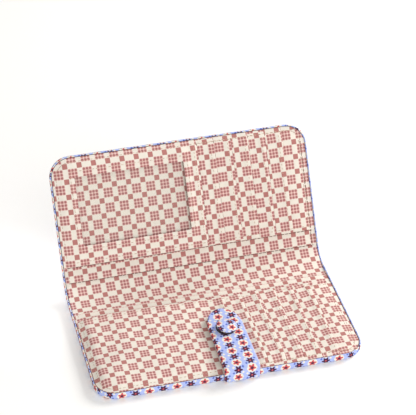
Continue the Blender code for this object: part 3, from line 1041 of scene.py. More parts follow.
@dataclass(frozen=True)
class ClearVinyl(Finish):
    """Soft PVC film, calendered and plasticised: clear, glossy, with slack ripples 14 mm long."""

    name: str = "clear_vinyl"
    roughness: float = 0.16
    tint: str = "#9DA197"
    cover: float = 0.035
    refraction: float = 1.53
    ripple_scale: float = 0.07
    ripple_strength: float = 0.6
    ripple_depth: float = 0.8 * MM

    def dress(self, tree: Tree, shader: Node) -> None:
        """Adds the film's see-through and its ripples.

        Args:
            tree: the node tree.
            shader: the main shader.
        """
        shader.inputs["Base Color"].default_value = linear(self.tint)
        shader.inputs["Alpha"].default_value = self.cover
        shader.inputs["IOR"].default_value = self.refraction
        place = add(tree, "ShaderNodeUVMap", uv_map=self.UV)
        ripple = add(tree, NOISE, {"Vector": place, "Scale": self.ripple_scale, "Detail": 1.0})
        bump = add(tree, BUMP, {"Strength": self.ripple_strength, "Distance": self.ripple_depth,
                                "Height": ripple})
        tree.links.new(bump, shader.inputs["Normal"])


CHECK = CheckCotton()
PRINT = PrintedCotton()
BATTING = CottonBatting()
BOARD = BoardSheet()
VINYL = ClearVinyl()
BRASS = LacqueredBrass()
# Near-black metal for the cap's underside and plate: painted shade for the gap under the cap.
SHADE_PLATE = LacqueredBrass("blackened_back_plate", 0.5, "#211A1D", "#33292E")
THREAD = SpunThread()
# Dark thread laid as painted shade under pocket mouths and free edges and along seams.
SHADE_THREAD = SpunThread("seam_thread", low="#553834", high="#8A6056")


# How pieces follow the bodies

@dataclass(frozen=True)
class Follow:
    """One body that a piece rides on, or two that it spans, with the points where the stretch over the fold
    starts and ends.
    """

    bodies: tuple[str, ...]
    start: tuple[float, float, float] = (0.0, 0.0, 0.0)
    end: tuple[float, float, float] = (0.0, 0.0, 0.0)

    def attach(self, made: Piece) -> Piece:
        """Attaches a piece to its one body; a piece that spans two is only fixed in place.

        Args:
            made: the piece.

        Returns:
            The same piece.
        """
        if len(self.bodies) == 1:
            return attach(made, self.bodies[0])
        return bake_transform(made)


def fold_follow(bodies: tuple[str, str], joint: str, way: float, reach: float, x: float = 0.0) -> Follow:
    """The two bodies beside a fold, and where a piece's stretch over it starts and ends.

    Args:
        bodies: the body before the fold and the one after it.
        joint: the fold's joint.
        way: the cloth's direction there, as an angle from +Y.
        reach: how far from the fold the bend starts and ends.
        x: where the piece lies across.

    Returns:
        The follow.
    """
    _, y, z = SIZES.pivots[joint]
    step_y, step_z = reach * math.cos(way), reach * math.sin(way)
    return Follow(bodies, (x, y - step_y, z - step_z), (x, y + step_y, z + step_z))


RIDE = {panel: Follow((panel.value,)) for panel in Panel}
BEND = {
    Panel.LOWER: fold_follow(("lower_panel", "spine"), "lower_fold", math.radians(8), SIZES.fold_zone),
    Panel.UPPER: fold_follow(("spine", "upper_panel"), "upper_fold", math.radians(42), SIZES.fold_zone),
}


def declare(made: Piece, follow: Follow, nodes: Sequence[str]) -> None:
    """Attaches a sheet of cloth, hides the frame's nodes that it stands for and logs its faces.

    Args:
        made: the piece.
        follow: the body that it rides on, or the two that it spans.
        nodes: the frame's nodes that it stands for.
    """
    follow.attach(made)
    if nodes:
        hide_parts(*nodes)
    LOG.info("%s: %d faces", made.name, len(made.data.polygons))


# Thread, and the layers inside: lining, pockets and slots

@dataclass
class Stitches:
    """Rows of thread: each stitch is a small capsule that dips into the cloth at both its ends."""

    name: str
    surface: Shape
    rows: Sequence[Sequence[tuple[float, float]]]
    finish: Finish = THREAD
    length: float = 2.1 * MM
    radius: float = 0.19 * MM
    pitch: float = 3.0 * MM
    sides: int = 6
    rings: tuple = ((-1.0, -0.7, 0.3), (-0.72, 0.1, 0.85), (0.0, 0.35, 1.0), (0.72, 0.1, 0.85),
                    (1.0, -0.7, 0.3))

    def places(self) -> tuple[Array, Array]:
        """Places the stitches evenly along the rows.

        Returns:
            Their middles and their directions, in (x, s).
        """
        middles, ways = [], []
        for row in self.rows:
            for (x0, s0), (x1, s1) in zip(row[:-1], row[1:]):
                run = math.hypot(x1 - x0, s1 - s0)
                count = max(1, round(run / self.pitch))
                for number in range(count):
                    share = (number + 0.5) / count
                    middles.append((x0 + (x1 - x0) * share, s0 + (s1 - s0) * share))
                    ways.append(((x1 - x0) / run, (s1 - s0) / run))
        return np.array(middles), np.array(ways)

    def build(self, follow: Follow) -> None:
        """Makes all rows as one piece, ring by ring from each stitch's one end to its other.

        Args:
            follow: what the rows move with.
        """
        middles, ways = self.places()
        base = self.surface(middles[:, 0], middles[:, 1])
        points = []
        for share, up, girth in self.rings:
            spot = middles + ways * share * self.length / 2
            for side in range(self.sides):
                angle = 2 * math.pi * side / self.sides
                out = self.radius * girth * math.cos(angle)
                lift = self.radius * (girth * math.sin(angle) + up)
                y, z = INNER.place(spot[:, 1] - ways[:, 0] * out, base + lift)
                points.append(np.stack([spot[:, 0] + ways[:, 1] * out, y, z], axis=1))
        points = np.stack(points, axis=1).reshape(-1, 3)
        number = np.arange(len(points)).reshape(-1, len(self.rings), self.sides)
        beside = np.roll(number, -1, axis=2)
        walls = np.stack([number[:, :-1], beside[:, :-1], beside[:, 1:], number[:, 1:]], axis=3)
        faces = [*walls.reshape(-1, 4), *number[:, 0, ::-1], *number[:, -1]]
        made = mesh_object(self.name, points, faces, None, self.finish, 80)
        follow.attach(made)
        LOG.info("%s: %d stitches", self.name, len(middles))


@dataclass(frozen=True)
class Layer:
    """Heights of one inner layer: where it lies in a panel and where its seam holds it down."""

    level: float
    seam: float
    gather: float = 0.2 * MM
    gather_length: float = 8.7 * MM
    gather_drift: float = 7 * MM
    gather_swing: float = 1.3
    gather_ends: tuple[float, float] = (4 * MM, 11 * MM)

    def top(self, reach: Reach, relief: Relief, crown: Optional[Shape] = None) -> Shape:
        """The layer's upper face.

        Args:
            reach: the panel it lies on.
            relief: its unevenness.
            crown: how far it stands above its level, by place.

        Returns:
            Height by (x, s).
        """
        near, far = self.gather_ends

        def height(x: Array, s: Array) -> Array:
            """The seam's height at the edge, and inside it the level with puckers along the seam.

            Args:
                x: places across.
                s: places along.

            Returns:
                The heights.
            """
            inside = reach.inside(x, s)
            share = smooth((inside - SIZES.seam_inset) / SIZES.sewn)
            rise = self.level - self.seam
            if crown is not None:
                rise = rise + crown(x, s)
            along = np.where(SIZES.width / 2 - np.abs(x) < reach.free(s), s, x)
            drift = self.gather_swing * np.sin(along / self.gather_drift)
            pucker = self.gather * np.sin(2 * math.pi * along / self.gather_length + drift)
            pucker = pucker * smooth(inside / near) * smooth((far - inside) / (far - near))
            return self.seam + (rise + relief(x, s) + pucker) * share
        return height


def layer_thickness(reach: Reach, full: float) -> Shape:
    """A layer's thickness, pressed thin where the edge seam holds it.

    Args:
        reach: the panel it lies on.
        full: the thickness away from the seam.

    Returns:
        Thickness by (x, s).
    """
    def thickness(x: Array, s: Array) -> Array:
        """The thickness at each place."""
        share = smooth((reach.inside(x, s) - SIZES.seam_inset) / (SIZES.sewn / 2))
        return SIZES.seam_cloth + (full - SIZES.seam_cloth) * share
    return thickness


@dataclass
class Inside:
    """The check-cotton inside: lining, slip pockets, card panels, window, front pocket and slots."""

    lining: Layer = Layer(SIZES.top("lower_lining"), 4.6 * MM)
    slip: Layer = Layer(SIZES.top("lower_slip_pocket"), 4.98 * MM)
    card: Layer = Layer(SIZES.top("lower_card_panel"), 5.36 * MM)
    front: Layer = Layer(SIZES.top("lower_card_slot_5"), 5.8 * MM)
    slip_depth: dict = field(default_factory=lambda: {Panel.LOWER: 5.0 * MM, Panel.UPPER: 2.6 * MM})
    slots: int = 5
    slot_step: float = 1.3 * MM
    slot_lift: float = 0.3 * MM
    slot_seam: float = 0.4
    hem_width: float = 4.6 * MM
    hem_step: float = 0.8 * MM
    hem_rise: float = 0.3 * MM
    plump: float = 1.0 * MM
    plump_reach: float = 26 * MM
    plump_right: float = -1 * MM
    plump_fade: float = 30 * MM
    bow: float = 0.8 * MM
    bow_width: float = 6 * MM
    bow_length: float = 20 * MM
    bow_start: float = 0.4
    vinyl_thick: float = 0.35 * MM
    vinyl_margin: float = 5 * MM
    vinyl_lift: float = 0.9 * MM
    vinyl_step: float = 2 * MM
    vinyl_under: float = 2.3
    window_corner: float = 1.6 * MM
    window_edge: float = 0.5 * MM
    row_in: float = 2.6 * MM
    slot_row_in: float = 2.4 * MM
    rim_row_in: float = 4.2 * MM
    top_row_in: float = 4.5 * MM
    side_row_in: float = 5.8 * MM
    seam_row_in: float = 4.7 * MM
    shade_out: float = 0.55 * MM
    covers: dict = field(default_factory=lambda: {panel: [] for panel in Panel})
    grains: dict = field(default_factory=lambda: {
        "lower_lining": (9.2, 9.2, -0.5), "upper_lining": (9.2, 9.2, -0.5),
        "lower_slip_pocket": (6.0, 6.8, 0.0), "upper_slip_pocket": (9.2, 10.8, -1.0),
        "lower_card_panel": (2.8, 0.0, -3.0), "upper_card_panel": (2.8, 7.2, 0.0),
        "lower_front_pocket": (3.6, 2.0, 1.0), "id_window_panel": (5.6, 0.8, 0.0),
        "lower_card_slot_1": (0.4, 10.4, 0.0), "upper_card_slot_1": (6.4, 8.8, 0.0),
        "lower_card_slot_2": (8.8, 5.6, -2.5), "upper_card_slot_2": (1.6, 8.4, 0.0),
        "lower_card_slot_3": (2.8, 5.2, -2.0), "upper_card_slot_3": (1.2, 7.6, -1.0),
        "lower_card_slot_4": (5.6, 2.4, -3.0), "upper_card_slot_4": (2.4, 0.8, -2.0),
        "lower_card_slot_5": (8.8, 3.2, -4.0), "upper_card_slot_5": (7.6, 10.4, -2.0)})

    @property
    def side(self) -> float:
        """The widest x of an inner layer's seam."""
        return SIZES.width / 2 - SIZES.seam_inset

    @property
    def card_depth(self) -> float:
        """Depth of a card panel's edge from the fold."""
        return SIZES.lower_fold[0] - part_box("lower_card_panel")[1].y

    def hem(self, distance: Array) -> Array:
        """How far a turned hem stands up, by the distance from its fold."""
        raised = self.hem_rise * smooth((self.hem_width - distance) / self.hem_step)
        return np.where(distance > -CLOSE, raised, 0.0)

    def hem_marks(self, edge: float, way: int) -> list[float]:
        """Places where a hem's step needs points, in rising order.

        Args:
            edge: the fold's place.
            way: 1 if the cloth lies above it, -1 if below.

        Returns:
            The fold and both ends of the step.
        """
        return sorted((edge, edge + way * (self.hem_width - self.hem_step), edge + way * self.hem_width))

    def mouth(self, reach: Reach, depth: float) -> Shape:
        """Distance from a pocket's mouth.

        Args:
            reach: the pocket's panel.
            depth: the mouth's depth from the fold.

        Returns:
            Distance by (x, s), above zero where the pocket is.
        """
        edge = reach.along(depth)
        way = -1 if reach.panel is Panel.LOWER else 1
        return lambda x, s: (s - edge) * way

    def lay(self, reach: Reach, nodes: Sequence[str], patch: Patch, covers: Shape, top: Shape,
            follow: Optional[Follow] = None, cuts: tuple[float, ...] = ()) -> None:
        """Makes one layer, and notes it for the surface that the stitches lie on.

        Args:
            reach: its panel.
            nodes: the frame's nodes that it stands for; the first one names it.
            patch: its grid.
            covers: above zero where the layer is.
            top: its upper face.
            follow: the two bodies that it spans, where it doesn't ride on its panel.
            cuts: lengths along where it is cut and not hemmed, as the stretched lining is.
        """
        self.covers[reach.panel].append((covers, top))
        cloth = Cloth(nodes[0] + "_cloth", patch, INNER, top, layer_thickness(reach, SIZES.cloth),
                      cuts=cuts, grain=self.grains[nodes[0]])
        declare(cloth.build(CHECK), follow or RIDE[reach.panel], nodes)

    def surface(self, panel: Panel) -> Shape:
        """Height of whatever layer is uppermost at each place of a panel.

        Args:
            panel: the panel.

        Returns:
            Height by (x, s).
        """
        def height(x: Array, s: Array) -> Array:
            """The highest of the layers that cover each place.

            Args:
                x: places across.
                s: places along.

            Returns:
                The heights.
            """
            total = np.zeros_like(x)
            for covers, top in self.covers[panel]:
                total = np.where(covers(x, s) > 0, np.maximum(total, top(x, s)), total)
            return total
        return height

    def make_lining(self, panel: Panel) -> None:
        """A panel's lining, which meets the other one in the middle of the spine.

        Args:
            panel: its panel.
        """
        reach = Reach(panel, INNER)
        far = float(reach.free(np.array(SIZES.mid_spine)))
        patch = Patch.on_panel(reach, SIZES.seam_inset, fill((-self.side, self.side), SIZES.step),
                               fill((0.0, far), SIZES.step))
        nodes = [panel.prefix + "_lining"] + (["spine_lining"] if panel is Panel.LOWER else [])
        top = self.lining.top(reach, Relief(3, 0.12 * MM, 40 * MM))
        self.lay(reach, nodes, patch, even(1.0), top,
                 BEND[panel], (SIZES.mid_spine,))

    def make_pocket(self, panel: Panel, word: str, layer: Layer, depth: float,
                    follow: Follow) -> None:
        """A pocket that is the full width of its panel, with a hem at its mouth.

        Args:
            panel: its panel.
            word: the last words of its node's name.
            layer: its heights.
            depth: its mouth's depth from the fold.
            follow: the body that it rides on, or the two that it spans.
        """
        reach = Reach(panel, INNER)
        far = float(reach.free(np.array(reach.along(depth))))
        patch = Patch.on_panel(reach, SIZES.seam_inset, fill((-self.side, self.side), SIZES.step),
                               fill((0.0, *self.hem_marks(far, -1)), SIZES.step))
        mouth = self.mouth(reach, depth)
        relief = Relief(len(word) + len(panel.prefix), 0.1 * MM, 45 * MM)
        top = layer.top(reach, relief, lambda x, s: self.hem(mouth(x, s)))
        self.lay(reach, [f"{panel.prefix}_{word}"], patch, mouth, top,
                 follow)

    def make_front_pocket(self) -> None:
        """The lower panel's left pocket, plump and a little creased."""
        reach = Reach(Panel.LOWER, INNER)
        far = SIZES.panel - self.card_depth
        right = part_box("lower_front_pocket")[1].x
        columns = fill((-self.side, *self.hem_marks(right, -1)), SIZES.step)
        patch = Patch.on_panel(reach, SIZES.seam_inset, columns,
                               fill((0.0, *self.hem_marks(far, -1)), SIZES.step))
        mouth = self.mouth(reach, self.card_depth)

        def crown(x: Array, s: Array) -> Array:
            """The plump left part, and the hems.

            Args:
                x: places across.
                s: places along.

            Returns:
                The heights.
            """
            swell = self.plump * smooth(reach.inside(x, s) / self.plump_reach)
            swell = swell * smooth((self.plump_right - x) / self.plump_fade)
            return swell + self.hem(mouth(x, s)) + self.hem(right - x)

        self.lay(reach, ["lower_front_pocket"], patch, lambda x, s: np.minimum(mouth(x, s), right - x),
                 self.front.top(reach, Relief(11, 0.26 * MM, 26 * MM), crown))

    def window(self) -> tuple[float, float, float, float]:
        """Works out the window's opening.

        Returns:
            Its left and right side, and its two lengths along the line.
        """
        reach = Reach(Panel.UPPER, INNER)
        low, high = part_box("id_window_vinyl")
        over = self.front.level - SIZES.lower_fold[1] - self.vinyl_thick * self.vinyl_under
        first = (low.z - SIZES.upper_fold[1] - over * math.cos(SIZES.lean)) / math.sin(SIZES.lean)
        length = (high.z - low.z - self.vinyl_thick * math.cos(SIZES.lean)) / math.sin(SIZES.lean)
        margin = self.vinyl_margin
        return (low.x + margin, high.x - margin,
                reach.along(first + margin), reach.along(first + length - margin))

    def make_window(self) -> None:
        """The upper panel's left pocket with its window; the panel bows up beside the window."""
        reach = Reach(Panel.UPPER, INNER)
        left, right, low, high = self.window()
        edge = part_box("id_window_panel")[1].x
        corner, rim = self.window_corner, self.window_edge
        columns = fill((-self.side, *self.hem_marks(left, -1), left + rim, left + corner, right - corner,
                        right - rim, *self.hem_marks(right, 1), *self.hem_marks(edge, -1)), SIZES.step)
        lengths = [*self.hem_marks(high, 1)[::-1], high - rim, high - corner, low + corner, low + rim,
                   *self.hem_marks(low, -1)[::-1], *self.hem_marks(reach.along(self.card_depth), 1)[::-1]]
        frees = [float(reach.free(np.array(value))) for value in lengths]
        patch = Patch.on_panel(reach, SIZES.seam_inset, columns,
                               fill([SIZES.seam_inset, *frees], SIZES.step))
        patch.open_window((left, low), (right, high), corner)
        mouth = self.mouth(reach, self.card_depth)

        def crown(x: Array, s: Array) -> Array:
            """The bow, and the hems round the window, at the mouth and at the right edge.

            Args:
                x: places across.
                s: places along.

            Returns:
                The heights.
            """
            beside = np.maximum(np.maximum(left - x, x - right), 0)
            above = np.maximum(np.maximum(low - s, s - high), 0)
            bowed = self.bow * np.exp(-((x - right) / self.bow_width) ** 2)
            bowed = bowed * smooth((s - low) / self.bow_length + self.bow_start)
            return bowed + self.hem(np.hypot(beside, above)) + self.hem(mouth(x, s)) + self.hem(edge - x)

        self.lay(reach, ["id_window_panel"], patch, lambda x, s: np.minimum(mouth(x, s), edge - x),
                 self.front.top(reach, Relief(5, 0.12 * MM, 35 * MM), crown))

    def make_pane(self) -> None:
        """The clear pane behind the window, a little slack."""
        left, right, low, high = self.window()
        margin = self.vinyl_margin
        patch = Patch.straight(fill((left - margin, right + margin), self.vinyl_step),
                               fill((low - margin, high + margin), self.vinyl_step))
        level = self.card.level + self.vinyl_lift
        slack = Relief(8, 0.08 * MM, 30 * MM)
        film = Cloth("id_window_vinyl_film", patch, INNER, lambda x, s: level + slack(x, s),
                     even(self.vinyl_thick))
        declare(film.build(VINYL), RIDE[Panel.UPPER], ["id_window_vinyl"])

    def make_slot(self, panel: Panel, number: int) -> None:
        """A strip of a cascade, which rises to its free edge and lies on the next strip.

        Args:
            panel: its panel.
            number: its place in the cascade, from the left.
        """
        reach = Reach(panel, INNER)
        node = f"{panel.prefix}_card_slot_{number}"
        low, high = (corner.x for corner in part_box(node))
        near, far = sorted((reach.along(self.card_depth), reach.along(SIZES.panel - SIZES.seam_inset)))
        patch = Patch.straight(fill((low, *self.hem_marks(high, -1)), self.slot_step),
                               fill((near, far), SIZES.step))
        mouth = self.mouth(reach, self.card_depth)
        start = self.card.level + self.slot_lift + SIZES.cloth
        wave = Relief(20 + number, 0.1 * MM, 26 * MM)

        def top(x: Array, s: Array) -> Array:
            """The seam's height at the edge, and inside it a slope up to the free edge.

            Args:
                x: places across.
                s: places along.

            Returns:
                The heights.
            """
            share = (x - low) / (high - low)
            rise = start + (self.front.level - start) * share + self.hem(high - x) + wave(x, s)
            settled = smooth((reach.inside(x, s) - SIZES.seam_inset) / SIZES.sewn)
            seam_share = self.slot_seam + (1 - self.slot_seam) * share
            seam = self.card.seam + (self.front.seam - self.card.seam) * seam_share
            return seam + (rise - seam) * settled

        self.lay(reach, [node], patch, lambda x, s: np.minimum(mouth(x, s), np.minimum(x - low, high - x)),
                 top)

    def build(self) -> None:
        """Makes all of the inside."""
        for panel in Panel:
            self.make_lining(panel)
        for panel in Panel:
            self.make_pocket(panel, "slip_pocket", self.slip, self.slip_depth[panel], BEND[panel])
            self.make_pocket(panel, "card_panel", self.card, self.card_depth, RIDE[panel])
        self.make_front_pocket()
        self.make_window()
        self.make_pane()
        for panel in Panel:
            for number in range(1, self.slots + 1):
                self.make_slot(panel, number)
        for panel in Panel:
            pale = Stitches(panel.prefix + "_stitches", self.surface(panel), self.pale_rows(panel))
            # The dark rows are painted shade: dark thread where folds, mouths and seams cast shade.
            dark = Stitches(panel.prefix + "_edge_threads", self.surface(panel), self.dark_rows(panel),
                            SHADE_THREAD, 2.9 * MM, 0.25 * MM)
            for rows in (pale, dark):
                rows.build(RIDE[panel])

    def free_edges(self, panel: Panel) -> list[float]:
        """X of the edges that face right: the left pocket's, then each slot's."""
        slots = [f"{panel.prefix}_card_slot_{number}" for number in range(1, self.slots + 1)]
        return [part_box(node)[1].x for node in ("id_window_panel", *slots)]

    def pale_rows(self, panel: Panel) -> list[list[tuple[float, float]]]:
        """Rows beside the hems: along the pockets, the cascade and the edges, and round the window.

        Args:
            panel: the panel.

        Returns:
            The rows, each a list of (x, s).
        """
        reach, depth, far = Reach(panel, INNER), self.card_depth, SIZES.panel
        end, out = SIZES.width / 2 - self.side_row_in, self.row_in
        rows = [level_row(reach, depth + out, -91 * MM, end),
                level_row(reach, far - self.top_row_in, 15 * MM, end),
                upright_row(reach, end, depth + 1 * MM, far - 9 * MM)]
        rows += [upright_row(reach, edge - self.slot_row_in, depth + 4 * MM, far - 6 * MM)
                 for edge in self.free_edges(panel)]
        if panel is Panel.UPPER:
            left, right, low, high = self.window()
            left, right, low, high = left - out, right + out, low - out, high + out
            rows.append([(left, low), (right, low), (right, high), (left, high), (left, low)])
        return rows + [outline_row(reach, self.rim_row_in, 2 * MM)]

    def dark_rows(self, panel: Panel) -> list[list[tuple[float, float]]]:
        """Rows of dark thread that paint the shade in the folds: under the pocket mouths and the slots' free
        edges, along the rim seam, inside the window's right edge and by the upper panel's right end seam.

        Args:
            panel: the panel.

        Returns:
            The rows, each a list of (x, s).
        """
        reach, depth, slip = Reach(panel, INNER), self.card_depth, self.slip_depth[panel]
        wide, out, far = SIZES.width / 2 - 3.5 * MM, self.shade_out, SIZES.panel
        below = 1.0 * MM if panel is Panel.UPPER else out
        rows = [level_row(reach, depth - below, -wide, wide), level_row(reach, slip - out, -wide, wide)]
        rows += [upright_row(reach, edge + out - 0.15 * MM, depth + 0.5 * MM, far - 4 * MM)
                 for edge in self.free_edges(panel)]
        if panel is Panel.LOWER:
            # Painted shade of the groove between the lining and the rim.
            return rows + [outline_row(reach, SIZES.seam_inset - 0.35 * MM, slip)]
        _, right, low, high = self.window()
        # Painted shade inside the window's right edge, and of the puckers by the right end seam.
        inner = right - 0.7 * MM
        seam = upright_row(reach, SIZES.width / 2 - self.seam_row_in, 3 * MM, far - 13 * MM)
        return rows + [[(inner, low + 2 * MM), (inner, high - 1 * MM)], seam]


def level_row(reach: Reach, depth: float, left: float, right: float) -> list[tuple[float, float]]:
    """A row across a panel, at one depth from its fold."""
    return [(left, reach.along(depth)), (right, reach.along(depth))]


def upright_row(reach: Reach, x: float, near: float, far: float) -> list[tuple[float, float]]:
    """A row away from a panel's fold, from one depth to another."""
    return [(x, reach.along(near)), (x, reach.along(far))]


def outline_row(reach: Reach, inset: float, depth: float) -> list[tuple[float, float]]:
    """A row along a panel's outline, from one side round the free edge to the other.

    Args:
        reach: the panel.
        inset: how far inside the outline it runs.
        depth: where it starts, as a depth from the fold.

    Returns:
        Its points, in (x, s).
    """
    radius, corner, side = SIZES.corner - inset, SIZES.corner, SIZES.width / 2
    row = [(inset - side, reach.along(depth))]
    row += [(corner - side - radius * math.cos(angle),
             reach.along(SIZES.panel - corner + radius * math.sin(angle)))
            for angle in np.linspace(0, QUARTER, ROUND_STEPS)]
    return row + [(-x, s) for x, s in row[::-1]]


# The outer cover and the padding

@dataclass
class Cover:
    """The printed outside, a shallow tray whose rim turns up and in over the lining's edge."""

    grid_inset: float = 3.4 * MM
    thick: float = 1.2 * MM
    bottom_round: float = 2.6 * MM
    rim_round: float = 0.46 * MM
    floor_round: float = 0.5 * MM
    turned: float = 2 * MM

    def profile(self) -> list[tuple[float, float]]:
        """The cover's edge in section.

        Returns:
            Rings from the tray's floor up inside the rim, over it, down outside and under.
        """
        lip, wall, low, out = self.rim_round, self.thick, self.bottom_round, self.grid_inset
        inside, top = out - wall, SIZES.rim - lip
        rings = [(0.0, 0.0), (inside - self.floor_round, 0.0), (inside, self.floor_round),
                 (inside, (top - wall) * 0.5)]
        rings += [(out - lip + lip * math.cos(angle), top + lip * math.sin(angle) - wall)
                  for angle in np.linspace(math.pi, 0, 7)]
        rings.append((out, (top + low) / 2 - wall))
        rings += [(out - low + low * math.cos(angle), low + low * math.sin(angle) - wall)
                  for angle in np.linspace(0, -QUARTER, 6)]
        return rings + [(0.0, -wall)]

    def build(self) -> None:
        """Makes the cover in two pieces that meet in the middle of the spine."""
        edge = SIZES.width / 2 - self.grid_inset
        for panel in Panel:
            reach = Reach(panel, OUTER)
            far = float(reach.free(np.array(SIZES.mid_spine)))
            patch = Patch.on_panel(reach, self.grid_inset, fill((-edge, edge), SIZES.step),
                                   fill((0.0, far), SIZES.step))
            cloth = Cloth(panel.prefix + "_cover_cloth", patch, OUTER, even(self.thick), even(self.thick),
                          same_edge(self.profile()), (SIZES.mid_spine,), (1.5, 2.0, 0.0), True)
            nodes = [panel.prefix + "_cover"] + (["spine_cover"] if panel is Panel.UPPER else [])
            declare(cloth.build(PRINT), BEND[panel], nodes)


@dataclass
class Padding:
    """Batting between cover and lining, in three pads with soft edges."""

    inset: float = 5.2 * MM
    low: float = 1.5 * MM
    high: float = 2.95 * MM
    lower_end: float = 90 * MM
    spine_start: float = 92 * MM
    spine_short: float = 2.4 * MM
    upper_short: float = 3.6 * MM
    step_x: float = 5 * MM
    step_s: float = 4 * MM

    def build(self) -> None:
        """Makes the three pads, with gaps at both folds."""
        fold, free_end = SIZES.along_upper(OUTER, 0.0), Reach(Panel.UPPER, OUTER).free_end
        spans = {"lower": (self.inset, self.lower_end), "spine": (self.spine_start, fold - self.spine_short),
                 "upper": (fold + self.upper_short, free_end - self.inset)}
        edge = SIZES.width / 2 - self.inset
        for word, span in spans.items():
            patch = Patch.straight(fill((-edge, edge), self.step_x), fill(span, self.step_s))
            form = Cloth(word + "_padding_form", patch, OUTER, even(self.high), even(self.high - self.low))
            made = form.build(BATTING)
            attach(made, "spine" if word == "spine" else word + "_panel")
            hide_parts(word + "_padding")
            LOG.info("%s: %d faces", made.name, len(made.data.polygons))


# The tab and its snap

@dataclass
class Tab:
    """The strap from under the front edge, round the rim and back over the lining."""

    edge_round: float = 1.2 * MM
    cloth: float = 0.7 * MM
    inner_turn: float = 0.5 * MM
    tip: float = 19 * MM
    crown: float = 0.25 * MM
    tuck: float = 1.0 * MM
    lining_inset: float = 2.1 * MM
    lining_top: float = 0.55 * MM
    lining_thick: float = 0.4 * MM
    near: float = 2.4 * MM
    half: float = 3.6 * MM
    flap_reach: float = 4.5 * MM
    cut_reach: float = 5 * MM
    step: float = 1.2 * MM
    under: float = 0.3 * MM
    above_under: float = 0.5 * MM

    def __post_init__(self) -> None:
        """Reads the tab's sizes from the frame."""
        low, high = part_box("tab_flap_outer")
        self.width, self.middle, self.thick = high.x - low.x, (high.x + low.x) / 2, high.z - low.z
        face_y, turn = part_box("tab_riser_outer")[1].y, self.inner_turn
        anchor_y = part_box("tab_anchor")[1].y
        back, rise = anchor_y - face_y, low.z - self.thick
        self.line = SideLine((anchor_y, self.thick), math.pi,
                             (Turn(back - turn, -QUARTER, turn), Turn(rise - 2 * turn, -QUARTER, turn)))
        over = self.line.end[0] - turn
        self.riser_middle = back - turn + QUARTER * turn + rise / 2 - turn
        self.middle_half = over + (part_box("tab_middle_outer")[1].y - face_y) / 2
        self.length = over + high.y - face_y

    def half_width(self, s: Array, inset: float) -> Array:
        """Half the strap's width, with its arched tip.

        Args:
            s: lengths along the strap.
            inset: how far inside its outline.

        Returns:
            Half widths.
        """
        past = np.clip((s - (self.length - self.tip)) / (self.tip - inset), 0, 0.998)
        return (self.width / 2 - inset) * np.sqrt(1 - past ** 2)

    def face(self, x: Array, s: Array) -> Array:
        """Height of the strap's face, which swells in its middle."""
        return self.thick + self.crown * (1 - np.clip(x / (self.width / 2), -1, 1) ** 2)

    def rows(self, start: float, end: float) -> Array:
        """Row places along the strap, with close ones in the turns.

        Args:
            start: the first row's place.
            end: the last row's place.

        Returns:
            The places.
        """
        marks = [self.riser_middle - self.cut_reach, self.riser_middle + self.cut_reach]
        for along, _, _, side, radius in self.line.parts:
            if side:
                marks += list(np.linspace(along, along + QUARTER * radius, 6))
        inner = {place for place in marks if start < place < end}
        return fill(sorted({start, end} | inner), self.step)

    def patch(self, start: float, end: float, inset: float) -> Patch:
        """A stretch of the strap.

        Args:
            start: where it starts along the strap.
            end: where it ends; past the tip's start, rows follow the arch.
            inset: how far inside the outline it lies.

        Returns:
            The grid.
        """
        arch = self.length - self.tip
        rows = self.rows(start, min(end, arch))
        if end > arch:
            angles = np.linspace(0, math.radians(86), 16)[1:]
            rows = np.concatenate([rows, arch + (self.tip - inset) * np.sin(angles)])
        shares = np.linspace(-1, 1, 19)
        x = self.half_width(rows, inset)[:, None] * shares[None, :]
        s = np.repeat(rows[:, None], shares.size, 1)
        return Patch(x, s, np.ones((rows.size - 1, shares.size - 1), bool))

    def shell(self) -> list[tuple[float, float]]:
        """The strap's edge in section.

        Returns:
            Rings from the face over the round edge, under it and back up inside.
        """
        radius, thick, tuck = self.edge_round, self.thick, self.tuck
        inside = self.above_under - thick
        rings = [(radius * math.sin(angle), -radius * (1 - math.cos(angle)))
                 for angle in np.linspace(0, math.pi, ROUND_STEPS)]
        return rings + [(-tuck, -thick), (-tuck, self.under - thick), (0.0, inside),
                        (radius * 0.4, inside + self.cloth), (0.0, -self.cloth)]

    def stretch(self, name: str, start: float, end: float, follow: Follow, outer_nodes: Sequence[str],
                inner_nodes: Sequence[str], cuts: tuple[float, ...]) -> None:
        """One stretch of outer cloth and of lining.

        Args:
            name: the stretch's first words.
            start: where it starts along the strap.
            end: where it ends.
            follow: the two bodies that it spans.
            outer_nodes: the nodes that its outer cloth stands for.
            inner_nodes: the nodes that its lining stands for.
            cuts: which of its ends is cut, as lengths along.
        """
        outer = Cloth(name + "_outer_cloth", self.patch(start, end, self.edge_round), self.line, self.face,
                      even(self.cloth), same_edge(self.shell()), cuts, (3.0, 1.0, 0.0), False, self.middle,
                      self.thick)
        declare(outer.build(PRINT), follow, outer_nodes)
        inner = Cloth(name + "_lining_cloth", self.patch(start, end, self.lining_inset), self.line,
                      even(self.lining_top), even(self.lining_thick), cuts=cuts, offset_x=self.middle)
        declare(inner.build(CHECK), follow, inner_nodes)

    def build(self) -> None:
        """Makes the strap in three stretches, each spanning one of its folds."""
        x, near, half = self.middle, self.near, self.half
        _, y, z = SIZES.pivots["tab_root_fold"]
        root = Follow(("lower_panel", "tab_riser"), (x, y + near, z - half), (x, y - near, z + half))
        _, y, z = SIZES.pivots["tab_edge_fold"]
        edge = Follow(("tab_riser", "tab_middle"), (x, y - near, z - half), (x, y + half, z + near))
        flap = fold_follow(("tab_middle", "tab_flap"), "tab_flap_fold", 0.0, self.flap_reach, x)
        first, second = self.riser_middle, self.middle_half
        self.stretch("tab_anchor", 0.0, first, root, ["tab_anchor"], [], (first,))
        self.stretch("tab_riser", first, second, edge, ["tab_riser_outer"], ["tab_riser_lining"],
                     (first, second))
        self.stretch("tab_flap", second, self.length, flap, ["tab_middle_outer", "tab_flap_outer"],
                     ["tab_middle_lining", "tab_flap_lining"], (second,))


